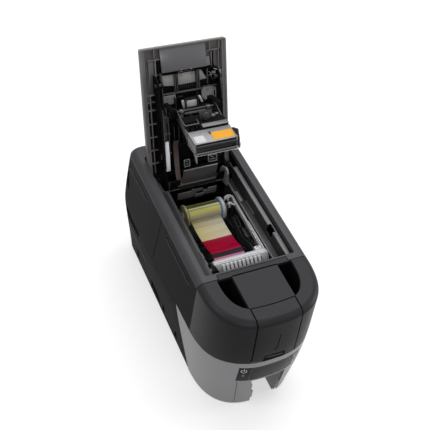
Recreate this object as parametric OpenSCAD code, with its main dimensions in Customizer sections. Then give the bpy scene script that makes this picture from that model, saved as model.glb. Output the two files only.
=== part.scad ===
// Desktop card printer with a hinged top cover, shown with the cover open.
// Lengths are in millimetres. Inside the modules y = 0 is the joint line between the nose and
// the deck, +y runs to the rear, +x to the right, and z = 0 is the surface it stands on.

/* [Body] */
// Width over the side panels
body_w = 175; // [170:1:184]
// Length of the rounded nose in front of the joint line
nose_l = 96.7; // [92:0.1:104]
// Length from the joint line to the furthest point of the rear
tail_l = 296; // [290:1:310]
// Height of the flat deck
deck_h = 214; // [212:1:220]
// Radius of the rounded edge around the deck
edge_r = 9.5; // [8:0.5:11]
// Wall thickness of the casing
wall = 2.5; // [2:0.1:3]
// Gap between neighbouring casing panels
seam = 0.5; // [0.3:0.1:0.8]
// Roundness exponent of the nose in plan
nose_n = 2.6; // [2.2:0.1:3]
// How far the casing draws in at the floor on each side
tuck = 7; // [4:1:9]
// Height of the rubber feet
foot_h = 4; // [3:0.5:5]
// Radius of the rubber feet
foot_r = 9; // [7:0.5:10]
// Thickness of the base floor
floor_t = 3; // [2:0.5:4]
// Height of the front skirt above the ground
skirt_gap = 2; // [1.5:0.5:3]

/* [Cover] */
// Distance of the cover hinge in front of the rear
hinge_inset = 77; // [75:1:79]
// Depth of the cover hinge below the deck
hinge_drop = 20.6; // [19:0.2:22]
// Angle that the cover stands open
open_deg = 111.8; // [100:0.2:112]
// Radius of the hinge pins
hinge_pin_r = 3; // [2.5:0.5:3.5]
// Front edge of the cover opening behind the joint line
opening_front = 11; // [10:0.5:12]
// Distance of the rear edge of the cover opening from the rear
rear_margin = 40; // [38:0.5:41]
// Half the width of the cover opening
opening_half = 70.5; // [69:0.5:72]
// Gap around the cover
cover_gap = 1.1; // [0.9:0.1:1.5]
// Height of the cover skirt
cover_skirt = 8; // [6:0.5:8.5]
// Running clearance of pins and shafts
run_gap = 0.05; // [0.03:0.01:0.08]

/* [Ribbon cartridge] */
// Distance of the supply spool axis in front of the hinge
supply_inset = 54; // [52:1:56]
// Depth of the supply spool axis below the deck
supply_drop = 53.4; // [52:0.2:56]
// Take-up spool axis behind the joint line
takeup_y = 58; // [56:1:60]
// Depth of the take-up spool axis below the deck
takeup_drop = 64; // [62:1:66]
// Radius of the ribbon wound on the supply spool
supply_r = 15; // [10:0.5:16]
// Radius of the ribbon wound on the take-up spool
takeup_r = 11; // [9:0.5:12]
// Width of the ribbon
ribbon_w = 54; // [50:1:56]
// Radius of the spool flanges on the supply side
flange_r = 18.5; // [17:0.5:19]
// Radius of the spool axles
axle_r = 3; // [2.5:0.5:3.5]
// Half width of the grip bar on its left side
grip_left = 37; // [35:1:40]
// Outer face of the right cartridge rail
rail_out = 52; // [50:0.5:52]
// Depth of the grip bar below the deck
grip_drop = 32; // [30:1:34]

/* [Card path] */
// Depth of the card path below the deck
path_drop = 115.5; // [114:0.5:117]
// Thickness of a card
card_t = 0.8; // [0.5:0.1:1]
// Width of the card track
track_w = 60; // [58:1:62]
// Radius of the transport rollers
roller_r = 6; // [5:0.5:6.5]
// Radius of the platen roller
platen_r = 8; // [7:0.5:8.5]
// Distance of the print line in front of the supply spool axis
platen_inset = 19; // [18:1:20]
// Radius of the roller shafts
shaft_r = 3; // [2.5:0.5:3]
// Height of the card hopper floor above the card path
hopper_rise = 11.5; // [10:0.5:14]
// Half the inner width of the card hopper
hopper_half = 28; // [27.5:0.5:29]
// Angle that the hopper door swings forward
door_deg = 50; // [30:5:55]

/* [Front panel] */
// Left edge of the display band
band_left = 48; // [46:1:50]
// Right edge of the display band
band_right = 50; // [46:1:52]
// Depth of the bottom of the display band below the deck
band_drop = 136; // [134:1:137]
// Height of the display band
band_h = 37; // [34:1:38]
// Left edge of the output notch
notch_left = 24; // [22:1:26]
// Right edge of the output notch
notch_right = 28; // [26:1:30]
// Distance between the display band and the output notch
notch_gap = 3; // [2.6:0.2:6]
// Travel of the push buttons
button_travel = 0.8; // [0.5:0.1:1.2]

/* [Hidden] */
$fn = 48;

// --- casing outline ---
half_w = body_w / 2;
side_h = deck_h - edge_r;
rear_edge_r = edge_r * 0.4;
corner_r = 15;
nose_steps = 28;
corner_steps = 4;
edge_steps = 4;
mid_z = deck_h - 110;
lean_levels = [[skirt_gap, -7.2], [mid_z - 28, -1.3], [mid_z, 0], [mid_z + 21, 0], [side_h, -6.2]];
tail_levels = [[skirt_gap, -29], [38, -21], [mid_z - 28, -8], [mid_z, 0], [mid_z + 58, -5], [side_h, -11.3]];
side_levels = [[skirt_gap, -tuck], [mid_z, 0], [side_h, 0]];
break_levels = [38, mid_z - 28, mid_z, mid_z + 21, mid_z + 58];

// --- lines that split the casing, as points in the side view ---
band_line = [[52, mid_z - 3], [16, mid_z - 1], [-3, mid_z], [-20, mid_z + 3], [-45, mid_z + 8],
    [33.7 - nose_l, mid_z + 13.5], [16.7 - nose_l, mid_z + 19.5], [6.7 - nose_l, mid_z + 22.5],
    [-nose_l - 50, mid_z + 23]];
skirt_foot_y = -8;
base_split = [[52, mid_z - 3], [130, mid_z - 15], [tail_l + 10, mid_z - 15]];
wave_line = [[130, mid_z - 15], [131, mid_z - 11], [140, mid_z - 7], [148, mid_z - 3], [142, mid_z + 45],
    [135, mid_z + 94], [135, side_h]];
rear_split_y = tail_l - 20;
tongue_half = 55;
tongue_y = 7.5;

// --- cover and hinge ---
hinge_y = tail_l - hinge_inset;
hinge_z = deck_h - hinge_drop;
opening_rear = tail_l - rear_margin;
cover_t = wall;
cover_half = opening_half - cover_gap;
cover_front = opening_front + cover_gap;
cover_rear = opening_rear - 8;
ledge_z = deck_h - cover_skirt - 1;
liner_t = 2;
left_wall_x = 56;
left_rear_wall_x = 63;
right_wall_x = 63;
right_low_x = 53;
shelf_z = deck_h - 34;
liner_bottom = deck_h - 96;
ledge_end_y = hinge_y - 14;
well_z = deck_h - 66;
ear_r = 8;
arm_x0 = 57;
arm_x1 = 61.5;

// --- place of the origin: the middle of the footprint with the cover open ---
tip_dy = cover_front - hinge_y;
tip_dz = deck_h - hinge_z;
open_tip_y = hinge_y + tip_dy * cos(open_deg) + tip_dz * sin(open_deg);
seam_y = -(max(open_tip_y, tail_l) - nose_l) / 2;

// --- ribbon cartridge ---
supply_y = hinge_y - supply_inset;
supply_z = deck_h - supply_drop;
takeup_z = deck_h - takeup_drop;
grip_top = deck_h - grip_drop;
cart_shelf_z = deck_h - 53.3;
motor_w = 35;
liner_step_y = supply_y + motor_w / 2 + 1.5;

// --- chassis and card path ---
path_z = deck_h - path_drop;
platen_y = supply_y - platen_inset;
hopper_z = path_z + hopper_rise;
plate_in = 51;
plate_t = 2;
plate_top = liner_bottom;
floor_z = foot_h + floor_t;
flange_w = 10;
axis_z = path_z - roller_r - 0.5;
feed_y = 26;
cleaning_y = platen_y - 64;
transport_y = platen_y - 36;
rear_y = platen_y + 52;
plate_rear = tail_l - 60;
plate_front = -46;
platen_z = path_z - platen_r - 0.1;
head_z = path_z + card_t / 2;
pick_y = -14;
pick_r = 8;
pick_z = hopper_z + 0.3 - pick_r;
exit_y = -34;
exit_tip_y = 34.7 - nose_l;
exit_slope = 10;
exit_from = [30, path_z - 2.5];
exit_z = exit_from[1] - (exit_from[0] - exit_y) * tan(exit_slope) - roller_r - 0.2;
cleaning_z = path_z + card_t + roller_r;
motor_y = platen_y - 18;
motor_z = path_z - 29;
pulley_r = 7;
pulley_x0 = plate_in + plate_t + 0.5;
pulley_w = 6;
belt_t = 1.4;
belt_gap = 0.3;
motor_l = 22;
spool_motor_l = half_w - wall - left_wall_x - liner_t - 5;
gear_m = 1;
spool_teeth = 24;
drive_teeth = 16;
gear_gap = 0.3;
gear_w = 6;
gear_x = 44;
gear_drop = gear_m * (spool_teeth + drive_teeth) / 2 + gear_gap;

// --- nose and hopper ---
well_half = 59;
well_depth = nose_l - 32.7;
well_in = 35.5;
well_back = -1;
well_floor = deck_h - 79;
well_wall = 2;
door_gap = 1;
door_low = mid_z + 26;
door_axis = [8.9 - nose_l, door_low + 11];
door_pin_r = 1.5;
door_boss_r = 3;
flange_half = well_in - well_wall - 0.5;
door_line = 34.7 - nose_l;
hopper_front = 36.7 - nose_l;
hopper_rear = 2.5;
hopper_top = deck_h - 14;

// --- front panel ---
band_low = deck_h - band_drop;
band_high = band_low + band_h;
notch_h = band_low - notch_gap;
notch_back = 34.7 - nose_l;

// --- print head, in the closed position of the cover ---
head_axis = [platen_y - 42, deck_h - 40];
head_half = 36;
block_in = 33;
latch_at = [takeup_y + 8, deck_h - 19];
latch_r = 3;
pin_back = 7.2;

function arc_pts(cx, cy, r, a0, a1, steps) =
    [for (i = [0 : steps]) let (a = a0 + (a1 - a0) * i / steps) [cx + r * cos(a), cy + r * sin(a)]];
function power(v, p) = sign(v) * pow(abs(v), p);
function nose_pts(a, b, n, steps) =
    [for (i = [1 : steps - 1]) let (t = 180 + 180 * i / steps) [a * power(cos(t), 2 / n), b * power(sin(t), 2 / n)]];
function ring(hw, nose, tail, r) = concat(
    [[hw, 0]],
    arc_pts(hw - r, tail - r, r, 0, 90, corner_steps),
    arc_pts(-hw + r, tail - r, r, 90, 180, corner_steps),
    [[-hw, 0]],
    nose_pts(hw, nose, nose_n, nose_steps));
function side_ring(z, t) = ring(half_w + lookup(z, side_levels) - t, nose_l + lookup(z, lean_levels) - t,
    tail_l + lookup(z, tail_levels) - t, corner_r - t);
function edge_ring(a, t) = ring(half_w - t - (edge_r - t) * (1 - cos(a)),
    nose_l + lookup(side_h, lean_levels) - t - (edge_r - t) * (1 - cos(a)),
    tail_l + lookup(side_h, tail_levels) - t - (rear_edge_r - t * 0.4) * (1 - cos(a)), corner_r - t);

// A closed skin over a stack of rings; levels holds the height of each ring.
module loft(rings, levels) {
    n = len(rings[0]);
    last = len(rings) - 1;
    points = [for (i = [0 : last]) for (p = rings[i]) [p[0], p[1], levels[i]]];
    sides = [for (i = [0 : last - 1]) for (j = [0 : n - 1]) let (k = (j + 1) % n)
        [[i * n + j, (i + 1) * n + j, (i + 1) * n + k], [i * n + j, (i + 1) * n + k, i * n + k]]];
    bottom = [[for (j = [0 : n - 1]) j]];
    top = [[for (j = [n - 1 : -1 : 0]) last * n + j]];
    polyhedron(points, concat([for (pair = sides) for (f = pair) f], bottom, top));
}

// The whole casing as one body, drawn in by t on every face and starting at z_lo.
module casing(t, z_lo) {
    straight = concat([z_lo], [for (z = break_levels) if (z > z_lo) z], [side_h]);
    bends = [for (i = [1 : edge_steps]) 90 * i / edge_steps];
    rings = concat([for (z = straight) side_ring(z, t)], [for (a = bends) edge_ring(a, t)]);
    levels = concat(straight, [for (a = bends) side_h + (edge_r - t) * sin(a)]);
    loft(rings, levels);
}

module skin(t = wall) {
    difference() {
        casing(0, skirt_gap);
        casing(t, skirt_gap - 1);
    }
}

module at_seam() translate([0, seam_y, 0]) children();
module box(lo, hi) translate(lo) cube([hi[0] - lo[0], hi[1] - lo[1], hi[2] - lo[2]]);
module side_prism(x0, x1, pts) translate([x0, 0, 0]) rotate([90, 0, 90]) linear_extrude(x1 - x0) polygon(pts);
module x_rod(x0, x1, y, z, r) translate([x0, y, z]) rotate([0, 90, 0]) cylinder(h = x1 - x0, r = r);
module z_rod(x, y, z0, z1, r) translate([x, y, z0]) cylinder(h = z1 - z0, r = r);
module both_sides() {
    children();
    mirror([1, 0, 0]) children();
}

// Everything on the cover is drawn closed and swung open about the hinge.
module swing_open() {
    at_seam() translate([0, hinge_y, hinge_z]) rotate([-open_deg, 0, 0]) translate([0, -hinge_y, -hinge_z])
        children();
}

// --- casing ---
module below_split() {
    side_prism(-half_w - 1, half_w + 1, concat([[skirt_foot_y, -1], [tail_l + 10, -1]],
        [for (i = [2 : -1 : 0]) base_split[i] - [0, seam / 2]]));
}

module base_tray() {
    color("#3a3a3d") at_seam() difference() {
        intersection() {
            difference() {
                casing(0, foot_h);
                casing(wall, floor_z);
                box([-half_w, rear_split_y - seam / 2, mid_z - 28], [half_w, tail_l + 1, deck_h]);
            }
            below_split();
        }
        socket_holes();
        for (x = screw_xs, y = screw_ys) z_rod(x, y, foot_h - 1, floor_z + 1, screw_r + 0.1);
    }
}

module upper_body(y0, y1) {
    intersection() {
        skin();
        box([-half_w - 1, y0, foot_h], [half_w + 1, y1, side_h - seam / 2]);
    }
}

module front_panel_area() side_prism(-half_w - 1, 0, concat([[seam / 2, side_h + 5], [seam / 2, mid_z + seam / 2]],
    [band_line[1] + [0, seam / 2], base_split[0] + [0, seam / 2]],
    [for (p = wave_line) p + [-seam / 2, seam / 2]], [[wave_line[6][0] - seam / 2, side_h + 5]]));
module rear_panel_area() side_prism(-half_w - 1, 0, concat(
    [for (p = wave_line) p + [seam / 2, seam / 2]], [[wave_line[6][0] + seam / 2, side_h + 5]],
    [[rear_split_y - seam / 2, side_h + 5], [rear_split_y - seam / 2, mid_z - 15 + seam / 2]]));

module vent_slit(y0, y1, z) box([-half_w - 1, y0, z - 1.6], [-half_w + wall + 1, y1, z + 1.6]);

module left_front_half() {
    difference() {
        intersection() {
            upper_body(0, rear_split_y);
            front_panel_area();
        }
        vent_slit(22, 112, deck_h - 26);
    }
}

module left_rear_half() {
    difference() {
        intersection() {
            upper_body(0, rear_split_y);
            rear_panel_area();
        }
        vent_slit(tail_l - 105, rear_split_y - 6, deck_h - 28);
    }
}

module left_front_panel() color("#444447") at_seam() left_front_half();
module left_rear_panel() color("#4a4a4d") at_seam() left_rear_half();
module right_front_panel() color("#444447") at_seam() mirror([1, 0, 0]) left_front_half();
module right_rear_panel() color("#4a4a4d") at_seam() mirror([1, 0, 0]) left_rear_half();

module rear_panel() {
    color("#4a4a4d") at_seam() difference() {
        intersection() {
            skin();
            box([-half_w - 1, rear_split_y + seam / 2, mid_z - 28 + seam], [half_w + 1, tail_l + 1, side_h - seam / 2]);
        }
        for (i = [-4 : 4]) box([i * 14 - 2, rear_split_y, mid_z + 16], [i * 14 + 2, tail_l + 1, mid_z + 61]);
    }
}

module top_deck() {
    color("#606064") at_seam() {
        difference() {
            union() {
                intersection() {
                    skin();
                    box([-half_w - 1, seam / 2, side_h + seam / 2], [half_w + 1, tail_l + 1, deck_h + 1]);
                }
                opening_wall();
            }
            box([-opening_half, opening_front, side_h - 9], [opening_half, opening_rear, deck_h + 1]);
            box([-tongue_half - seam / 2, -1, side_h - 5], [tongue_half + seam / 2, tongue_y + seam / 2, deck_h + 1]);
        }
    }
}

module opening_wall() {
    box([-opening_half - liner_t, opening_front - liner_t, ledge_z],
        [opening_half + liner_t, opening_rear + liner_t, deck_h - 0.2]);
}

// --- nose ---
module well_plan(grow) {
    intersection() {
        polygon(concat([[well_half + grow, 0]], [[well_half + grow, 20], [-well_half - grow, 20]],
            [[-well_half - grow, 0]], nose_pts(well_half + grow, well_depth + grow, 3, 24)));
        translate([well_in - grow, -well_depth - 10])
            square([well_half, well_depth + 10 + well_back + grow]);
    }
}

module wells(grow, z0, z1) {
    both_sides() translate([0, 0, z0]) linear_extrude(z1 - z0) well_plan(grow);
}

module nose_region() {
    difference() {
        union() {
            box([-half_w - 1, -nose_l - 5, foot_h], [half_w + 1, -seam / 2, deck_h + 1]);
            box([-tongue_half + seam / 2, -1, side_h - 3], [tongue_half - seam / 2, tongue_y - seam / 2, deck_h + 1]);
        }
        side_prism(-half_w - 2, half_w + 2, concat([[10, 0], [10, mid_z + seam / 2]],
            [for (p = band_line) p + [0, seam / 2]], [[-150, 0]]));
    }
}

module door_slot() {
    box([-well_in, -nose_l - 5, mid_z], [well_in, well_back + 1.2, deck_h + 1]);
}

module door_pivot(x0, x1, r) x_rod(x0, x1, door_axis[0], door_axis[1], r);

module front_cover() {
    color("#55555a") at_seam() {
        difference() {
            union() {
                difference() {
                    intersection() {
                        skin();
                        nose_region();
                    }
                    door_slot();
                }
                difference() {
                    wells(well_wall, well_floor - well_wall, deck_h - wall);
                    door_slot_top();
                }
                both_sides() door_pivot(well_in + 0.3, well_in + 3.3, door_boss_r);
            }
            wells(0, well_floor, deck_h + 1);
            both_sides() door_pivot(well_in - 1, well_in + 3, door_pin_r + run_gap);
        }
    }
}

module door_slot_top() {
    box([-well_in - well_wall, -nose_l, deck_h - wall - 0.3], [well_in + 0.1, well_back + 1.2, deck_h + 1]);
}

module door_front_plan(shift) {
    polygon(concat([[-well_in + door_gap, -nose_l - 5], [well_in - door_gap, -nose_l - 5]],
        [for (i = [4 : -1 : -4]) let (x = (well_in - door_gap) * i / 4) [x, door_line + shift + 2 * pow(x / 35, 2)]]));
}

module hopper_door() {
    color("#55555a") at_seam() difference() {
        union() {
            intersection() {
                skin();
                translate([0, 0, door_low]) linear_extrude(deck_h) door_front_plan(0);
            }
            intersection() {
                casing(wall - 0.3, door_low);
                union() {
                    box([-flange_half, -nose_l, deck_h - wall - 2.3], [flange_half, door_line + 12, deck_h - wall]);
                    both_sides() box([well_in - door_gap - 3, -nose_l, door_low],
                        [well_in - door_gap, door_axis[0] + 3.8, door_low + 18]);
                }
            }
            both_sides() door_pivot(well_in - door_gap - 4, well_in - door_gap, door_boss_r);
            both_sides() door_pivot(well_in - door_gap - 2, well_in + 2.6, door_pin_r);
        }
        slot_recess();
    }
}

module slot_recess() {
    side_prism(-16, 16, [[-nose_l - 5, door_low - 1], [-nose_l + 1.4, door_low - 1], [-nose_l + 1.4, door_low + 9],
        [-nose_l - 5, door_low + 9]]);
}

module hopper_door_top() {
    color("#626267") at_seam() difference() {
        box([-well_in + 0.1, door_line - 2, deck_h - wall], [well_in - 0.1, well_back - 0.9, deck_h]);
        translate([0, 0, deck_h - wall - 1]) linear_extrude(wall + 2) door_front_plan(seam);
    }
}

// --- silver skirt, display and buttons ---
module skirt_region() {
    side_prism(-half_w - 2, half_w + 2, concat([[-150, -1], [skirt_foot_y - seam, -1]],
        [band_line[0] - [seam, seam / 2]], [for (i = [1 : 8]) band_line[i] - [0, seam / 2]]));
}

module band_region(grow) {
    box([-band_left - grow, -nose_l - 5, band_low - grow], [band_right + grow, -40, band_high + grow]);
}

module front_bezel() {
    color("#a9a9ad") at_seam() {
        difference() {
            union() {
                intersection() {
                    skin();
                    skirt_region();
                }
                intersection() {
                    casing(wall - 0.2, skirt_gap);
                    union() {
                        box([-notch_left - 2, -nose_l, skirt_gap], [-notch_left, notch_back, notch_h + 2]);
                        box([-notch_left - 2, -nose_l, notch_h], [notch_right + 8, notch_back - 15, notch_h + 1.6]);
                    }
                }
                intersection() {
                    difference() {
                        casing(wall - 0.2, foot_h);
                        casing(wall + 1.8, foot_h);
                    }
                    band_frame();
                }
            }
            band_region(0);
            box([-notch_left, -nose_l - 5, -1], [notch_right, notch_back + 12, notch_h]);
            box([-notch_left - 21.4, -nose_l - 5, skirt_gap - 1], [-notch_left - 20.8, 16.7 - nose_l, notch_h]);
        }
    }
}

module band_frame() {
    difference() {
        band_region(3);
        band_region(0);
    }
}

module output_bracket() {
    color("#77777b") at_seam() intersection() {
        casing(wall + 0.3, skirt_gap);
        difference() {
            union() {
                box([notch_right, -nose_l, skirt_gap + 1], [notch_right + 1.6, notch_back + 4, notch_h - 0.3]);
                box([notch_right, notch_back + 2, skirt_gap + 1], [notch_right + 12, notch_back + 4, notch_h - 0.3]);
                side_prism(notch_right - 18, notch_right + 1, [[notch_back - 8, notch_h - 0.3],
                    [notch_back, notch_h - 0.3], [notch_back, notch_h - 30], [notch_back - 2, notch_h - 30]]);
            }
            translate([notch_right - 34, notch_back + 12, notch_h - 38]) rotate([90, 0, 0]) cylinder(h = 30, r = 30);
        }
    }
}

module band_skin(x0, x1, z0, z1, t) {
    intersection() {
        difference() {
            casing(0, skirt_gap);
            casing(t, skirt_gap - 1);
        }
        box([x0, -nose_l - 2, z0], [x1, -40, z1]);
    }
}

key_gap = 0.4;
key_w = 15;

module display_window() {
    color("#0c0c10") at_seam()
        band_skin(-band_left + key_w, band_right - key_w, band_low + key_gap, band_high - key_gap, wall);
}

module key_cap(x0, x1) {
    band_skin(x0, x1, band_low + key_gap, band_high - key_gap, wall);
}

module key_stem(x) {
    intersection() {
        casing(wall - 0.5, band_low - 5);
        translate([x, board_y - 1.3 - button_travel, (band_low + band_high) / 2]) rotate([90, 0, 0])
            cylinder(h = 20, r = 2.5);
    }
}

board_y = 20.7 - nose_l;

module power_button() {
    color("#101014") at_seam() {
        key_cap(-band_left + key_gap, -band_left + key_w - key_gap);
        key_stem(-band_left + key_w / 2);
    }
}

module user_button() {
    color("#101014") at_seam() {
        key_cap(band_right - key_w + key_gap, band_right - key_gap);
        key_stem(band_right - key_w / 2);
    }
}

module display_board() {
    color("#1f5a32") at_seam() difference() {
        union() {
            box([-54, board_y, band_low], [54, board_y + 1.6, band_high - 1]);
            box([-30, board_y - 13.5, band_low + 3], [30, board_y, band_high - 4]);
            both_sides() box([44, board_y + 1.6, band_low], [plate_in + plate_t + 1, plate_front, band_low + 3]);
            for (x = [-band_left + key_w / 2, band_right - key_w / 2])
                translate([x, board_y, (band_low + band_high) / 2]) rotate([90, 0, 0]) cylinder(h = 1, r = 3);
        }
    }
}

// --- liners of the print bay ---
module left_liner() {
    color("#38383b") at_seam() difference() {
        union() {
            box([-opening_half - liner_t, opening_front, ledge_z - liner_t], [-left_wall_x, ledge_end_y, ledge_z]);
            box([-left_wall_x - liner_t, opening_front, liner_bottom], [-left_wall_x, liner_step_y, ledge_z]);
            box([-left_rear_wall_x - liner_t, liner_step_y, liner_bottom], [-left_wall_x, liner_step_y + liner_t, ledge_z]);
            box([-left_rear_wall_x - liner_t, liner_step_y, takeup_z], [-left_rear_wall_x, ledge_end_y, ledge_z]);
            ear(-left_rear_wall_x - liner_t, -left_rear_wall_x);
            box([-left_wall_x - 1, takeup_y + 38, cart_shelf_z - 2], [-gear_x - 1.5, takeup_y + 58, cart_shelf_z]);
        }
        latch_hole(-left_wall_x - liner_t - 1, -left_wall_x + 1);
        x_rod(-left_rear_wall_x - liner_t - 1, -left_rear_wall_x + 1, hinge_y, hinge_z, hinge_pin_r + run_gap);
        box([-left_rear_wall_x, liner_step_y + liner_t, ledge_z - liner_t - 1], [-left_wall_x + 1, ledge_end_y + 1, ledge_z + 1]);
        for (g = drive_axes) x_rod(-left_wall_x - liner_t - 1, -left_wall_x + 1, g[0], g[1], axle_r + run_gap);
    }
}

module ear(x0, x1) {
    side_prism(x0, x1, [[ledge_end_y - 1, hinge_z - ear_r], [hinge_y, hinge_z - ear_r], [hinge_y, hinge_z + ear_r],
        [ledge_end_y - 1, hinge_z + ear_r]]);
    x_rod(x0, x1, hinge_y, hinge_z, ear_r);
}

module latch_hole(x0, x1) side_prism(x0, x1, [[latch_at[0] - 11, latch_at[1] - 3], [latch_at[0] + 4, latch_at[1] - 8],
    [latch_at[0] + 11, latch_at[1] + 3], [latch_at[0] - 4, latch_at[1] + 7]]);

drive_axes = [[supply_y, supply_z - gear_drop], [takeup_y, takeup_z - gear_drop]];

module right_liner() {
    color("#38383b") at_seam() difference() {
        union() {
            box([right_wall_x, opening_front, ledge_z - liner_t], [opening_half + liner_t, ledge_end_y, ledge_z]);
            box([right_wall_x, opening_front, shelf_z - liner_t], [right_wall_x + liner_t, ledge_end_y, ledge_z]);
            box([right_low_x, opening_front, shelf_z - liner_t], [right_wall_x + liner_t, ledge_end_y, shelf_z]);
            box([right_low_x, opening_front, liner_bottom], [right_low_x + liner_t, liner_step_y + 20, shelf_z]);
            ear(right_wall_x, right_wall_x + liner_t);
            box([rail_out - 9, takeup_y + 38, cart_shelf_z - 2], [right_low_x + 1, takeup_y + 58, cart_shelf_z]);
        }
        latch_hole(right_wall_x - 1, right_wall_x + liner_t + 1);
        x_rod(right_wall_x - 1, right_wall_x + liner_t + 1, hinge_y, hinge_z, hinge_pin_r + run_gap);
    }
}

module front_liner() {
    color("#2c2c2e") at_seam() {
        box([-left_wall_x - liner_t, opening_front - liner_t, deck_h - 84], [right_low_x + liner_t, opening_front, ledge_z]);
        box([-left_wall_x, opening_front, ledge_z - liner_t], [right_wall_x, opening_front + 4, ledge_z]);
    }
}

module rear_liner() {
    color("#2a2a2c") at_seam() {
        difference() {
            box([-opening_half - liner_t, ledge_end_y + 0.4, well_z - liner_t],
                [opening_half + liner_t, opening_rear + liner_t, ledge_z]);
            box([-opening_half, ledge_end_y, well_z], [opening_half, opening_rear, ledge_z + 1]);
            box([-opening_half + 4, ledge_end_y - 1, well_z - 8], [opening_half - 4, opening_rear - 14, well_z + 2]);
        }
        difference() {
            box([-plate_in - plate_t, ledge_end_y, plate_top - 6], [plate_in + plate_t, ledge_end_y + 2, well_z + 2]);
            for (x = [-30, 10]) box([x, ledge_end_y - 1, well_z - 23], [x + 20, ledge_end_y + 3, well_z - 17]);
        }
        box([-plate_in, ledge_end_y + 1, well_z - liner_t], [plate_in, opening_rear - 13, well_z]);
    }
}

// --- base pieces ---
screw_r = 1.5;
screw_xs = [-58, 58];
screw_ys = [12, 120, plate_rear - 10];

module rubber_feet() {
    color("#161616") at_seam() for (x = [-62, 62], y = [30, tail_l - 52]) z_rod(x, y, 0, foot_h, foot_r);
}

module base_screws() {
    color("#b8b8bc") at_seam() for (x = screw_xs, y = screw_ys) {
        z_rod(x, y, foot_h - 1.8, foot_h, screw_r * 2);
        z_rod(x, y, foot_h - 1, floor_z + plate_t, screw_r);
    }
}

// One side plate: every roller shaft turns in it.
module side_plate(sx) {
    x0 = sx > 0 ? plate_in : -plate_in - plate_t;
    difference() {
        union() {
            side_prism(x0, x0 + plate_t, [[skirt_foot_y + 6, floor_z], [plate_rear, floor_z],
                [plate_rear, path_z + 6], [ledge_end_y, plate_top - 6], [ledge_end_y, plate_top],
                [plate_front, plate_top], [plate_front, path_z - 32.5], [skirt_foot_y + 6, path_z - 38.5]]);
            box([sx > 0 ? plate_in : -plate_in - flange_w, 2, floor_z],
                [sx > 0 ? plate_in + flange_w : -plate_in, plate_rear, floor_z + plate_t]);
        }
        for (p = shaft_axes) x_rod(x0 - 1, x0 + plate_t + 1, p[0], p[1], shaft_r + run_gap);
        if (sx < 0) x_rod(x0 - 1, x0 + plate_t + 1, motor_y, motor_z, shaft_r + run_gap);
        for (y = screw_ys) z_rod(sx * 58, y, floor_z - 1, floor_z + plate_t + 1, screw_r + 0.1);
    }
}

shaft_axes = [[pick_y, pick_z], [feed_y, axis_z], [cleaning_y, cleaning_z], [transport_y, axis_z],
    [platen_y, platen_z], [rear_y, axis_z], [exit_y, exit_z]];

module chassis_left() color("#9a9ca0") at_seam() side_plate(-1);
module chassis_right() color("#9a9ca0") at_seam() side_plate(1);

// --- card hopper ---
module card_hopper() {
    color("#303033") at_seam() difference() {
        box([-hopper_half - 2, hopper_front, hopper_z - 2], [hopper_half + 2, hopper_rear + 2, hopper_top]);
        box([-hopper_half, hopper_front - 1, hopper_z], [hopper_half, hopper_rear, hopper_top + 1]);
        box([-hopper_half, 0, hopper_z], [hopper_half, hopper_rear + 3, hopper_z + 1.6]);
        box([-24, pick_y - pick_r - 1, hopper_z - 3], [24, pick_y + pick_r + 1, hopper_z + 1]);
    }
    color("#303033") at_seam() both_sides()
        box([hopper_half + 2, -20, plate_top], [plate_in + plate_t, -10, plate_top + 2]);
}

module card_weight() {
    color("#8a8a8e") at_seam() {
        box([-hopper_half + 1, hopper_front + 2, hopper_z + 0.9], [hopper_half - 1, hopper_rear - 1, hopper_z + 3.4]);
        box([-10, hopper_front + 2, hopper_z + 3.4], [10, hopper_front + 5, hopper_z + 12]);
    }
}

guide_end = rear_y + 38;

module guide_tab(y0, y1, z) both_sides() box([track_w / 2, y0, z], [plate_in, y1, z + 1.5]);

module card_guide() {
    color("#26262a") at_seam() difference() {
        union() {
            box([-track_w / 2 - 1.5, feed_y + 8, path_z - 3], [track_w / 2 + 1.5, guide_end, path_z - 1.5]);
            both_sides() for (span = [[feed_y + 8, transport_y + 2], [platen_y + 12, guide_end]])
                box([track_w / 2, span[0], path_z - 3], [track_w / 2 + 1.5, span[1], path_z + 3]);
            guide_tab(feed_y + 18, feed_y + 34, path_z - 3);
            guide_tab(transport_y + 10, platen_y - 12, path_z - 3);
            guide_tab(rear_y + 14, rear_y + 30, path_z - 3);
        }
        for (w = [[transport_y, roller_r], [platen_y, platen_r], [rear_y, roller_r]])
            box([-track_w / 2 + 1, w[0] - w[1] - 1, path_z - 4], [track_w / 2 - 1, w[0] + w[1] + 1, path_z]);
    }
}

module exit_chute() {
    run = exit_from[0] - exit_tip_y;
    drop = run * tan(exit_slope);
    color("#26262a") at_seam() difference() {
        union() {
            side_prism(-track_w / 2, track_w / 2, [exit_from - [0, 1.6], exit_from, exit_from - [run, drop],
                exit_from - [run, drop + 1.6]]);
            both_sides() side_prism(track_w / 2 - 1, plate_in, [exit_from - [55, 55 * tan(exit_slope) + 1.6],
                exit_from - [55, 55 * tan(exit_slope)], exit_from - [44, 44 * tan(exit_slope)],
                exit_from - [44, 44 * tan(exit_slope) + 1.6]]);
        }
        box([-track_w / 2 + 1, exit_y - roller_r - 1.5, path_z - 38.5], [track_w / 2 - 1, exit_y + roller_r + 1.5, path_z]);
        box([-track_w / 2 - 1, feed_y - roller_r - 1, path_z - 38.5], [track_w / 2 + 1, feed_y + roller_r + 8, path_z]);
    }
}

// --- rollers ---
module roller_body(y, z, r) x_rod(-track_w / 2 + 2, track_w / 2 - 2, y, z, r);
module roller_shaft(x0, x1, y, z) x_rod(x0, x1, y, z, shaft_r);
module driven_roller(y, z, r, wheel_r, tint) {
    color(tint) at_seam() {
        roller_body(y, z, r);
        roller_shaft(-pulley_x0 - pulley_w, plate_in + plate_t + 2, y, z);
        x_rod(-pulley_x0 - pulley_w, -pulley_x0, y, z, wheel_r);
    }
}

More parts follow.
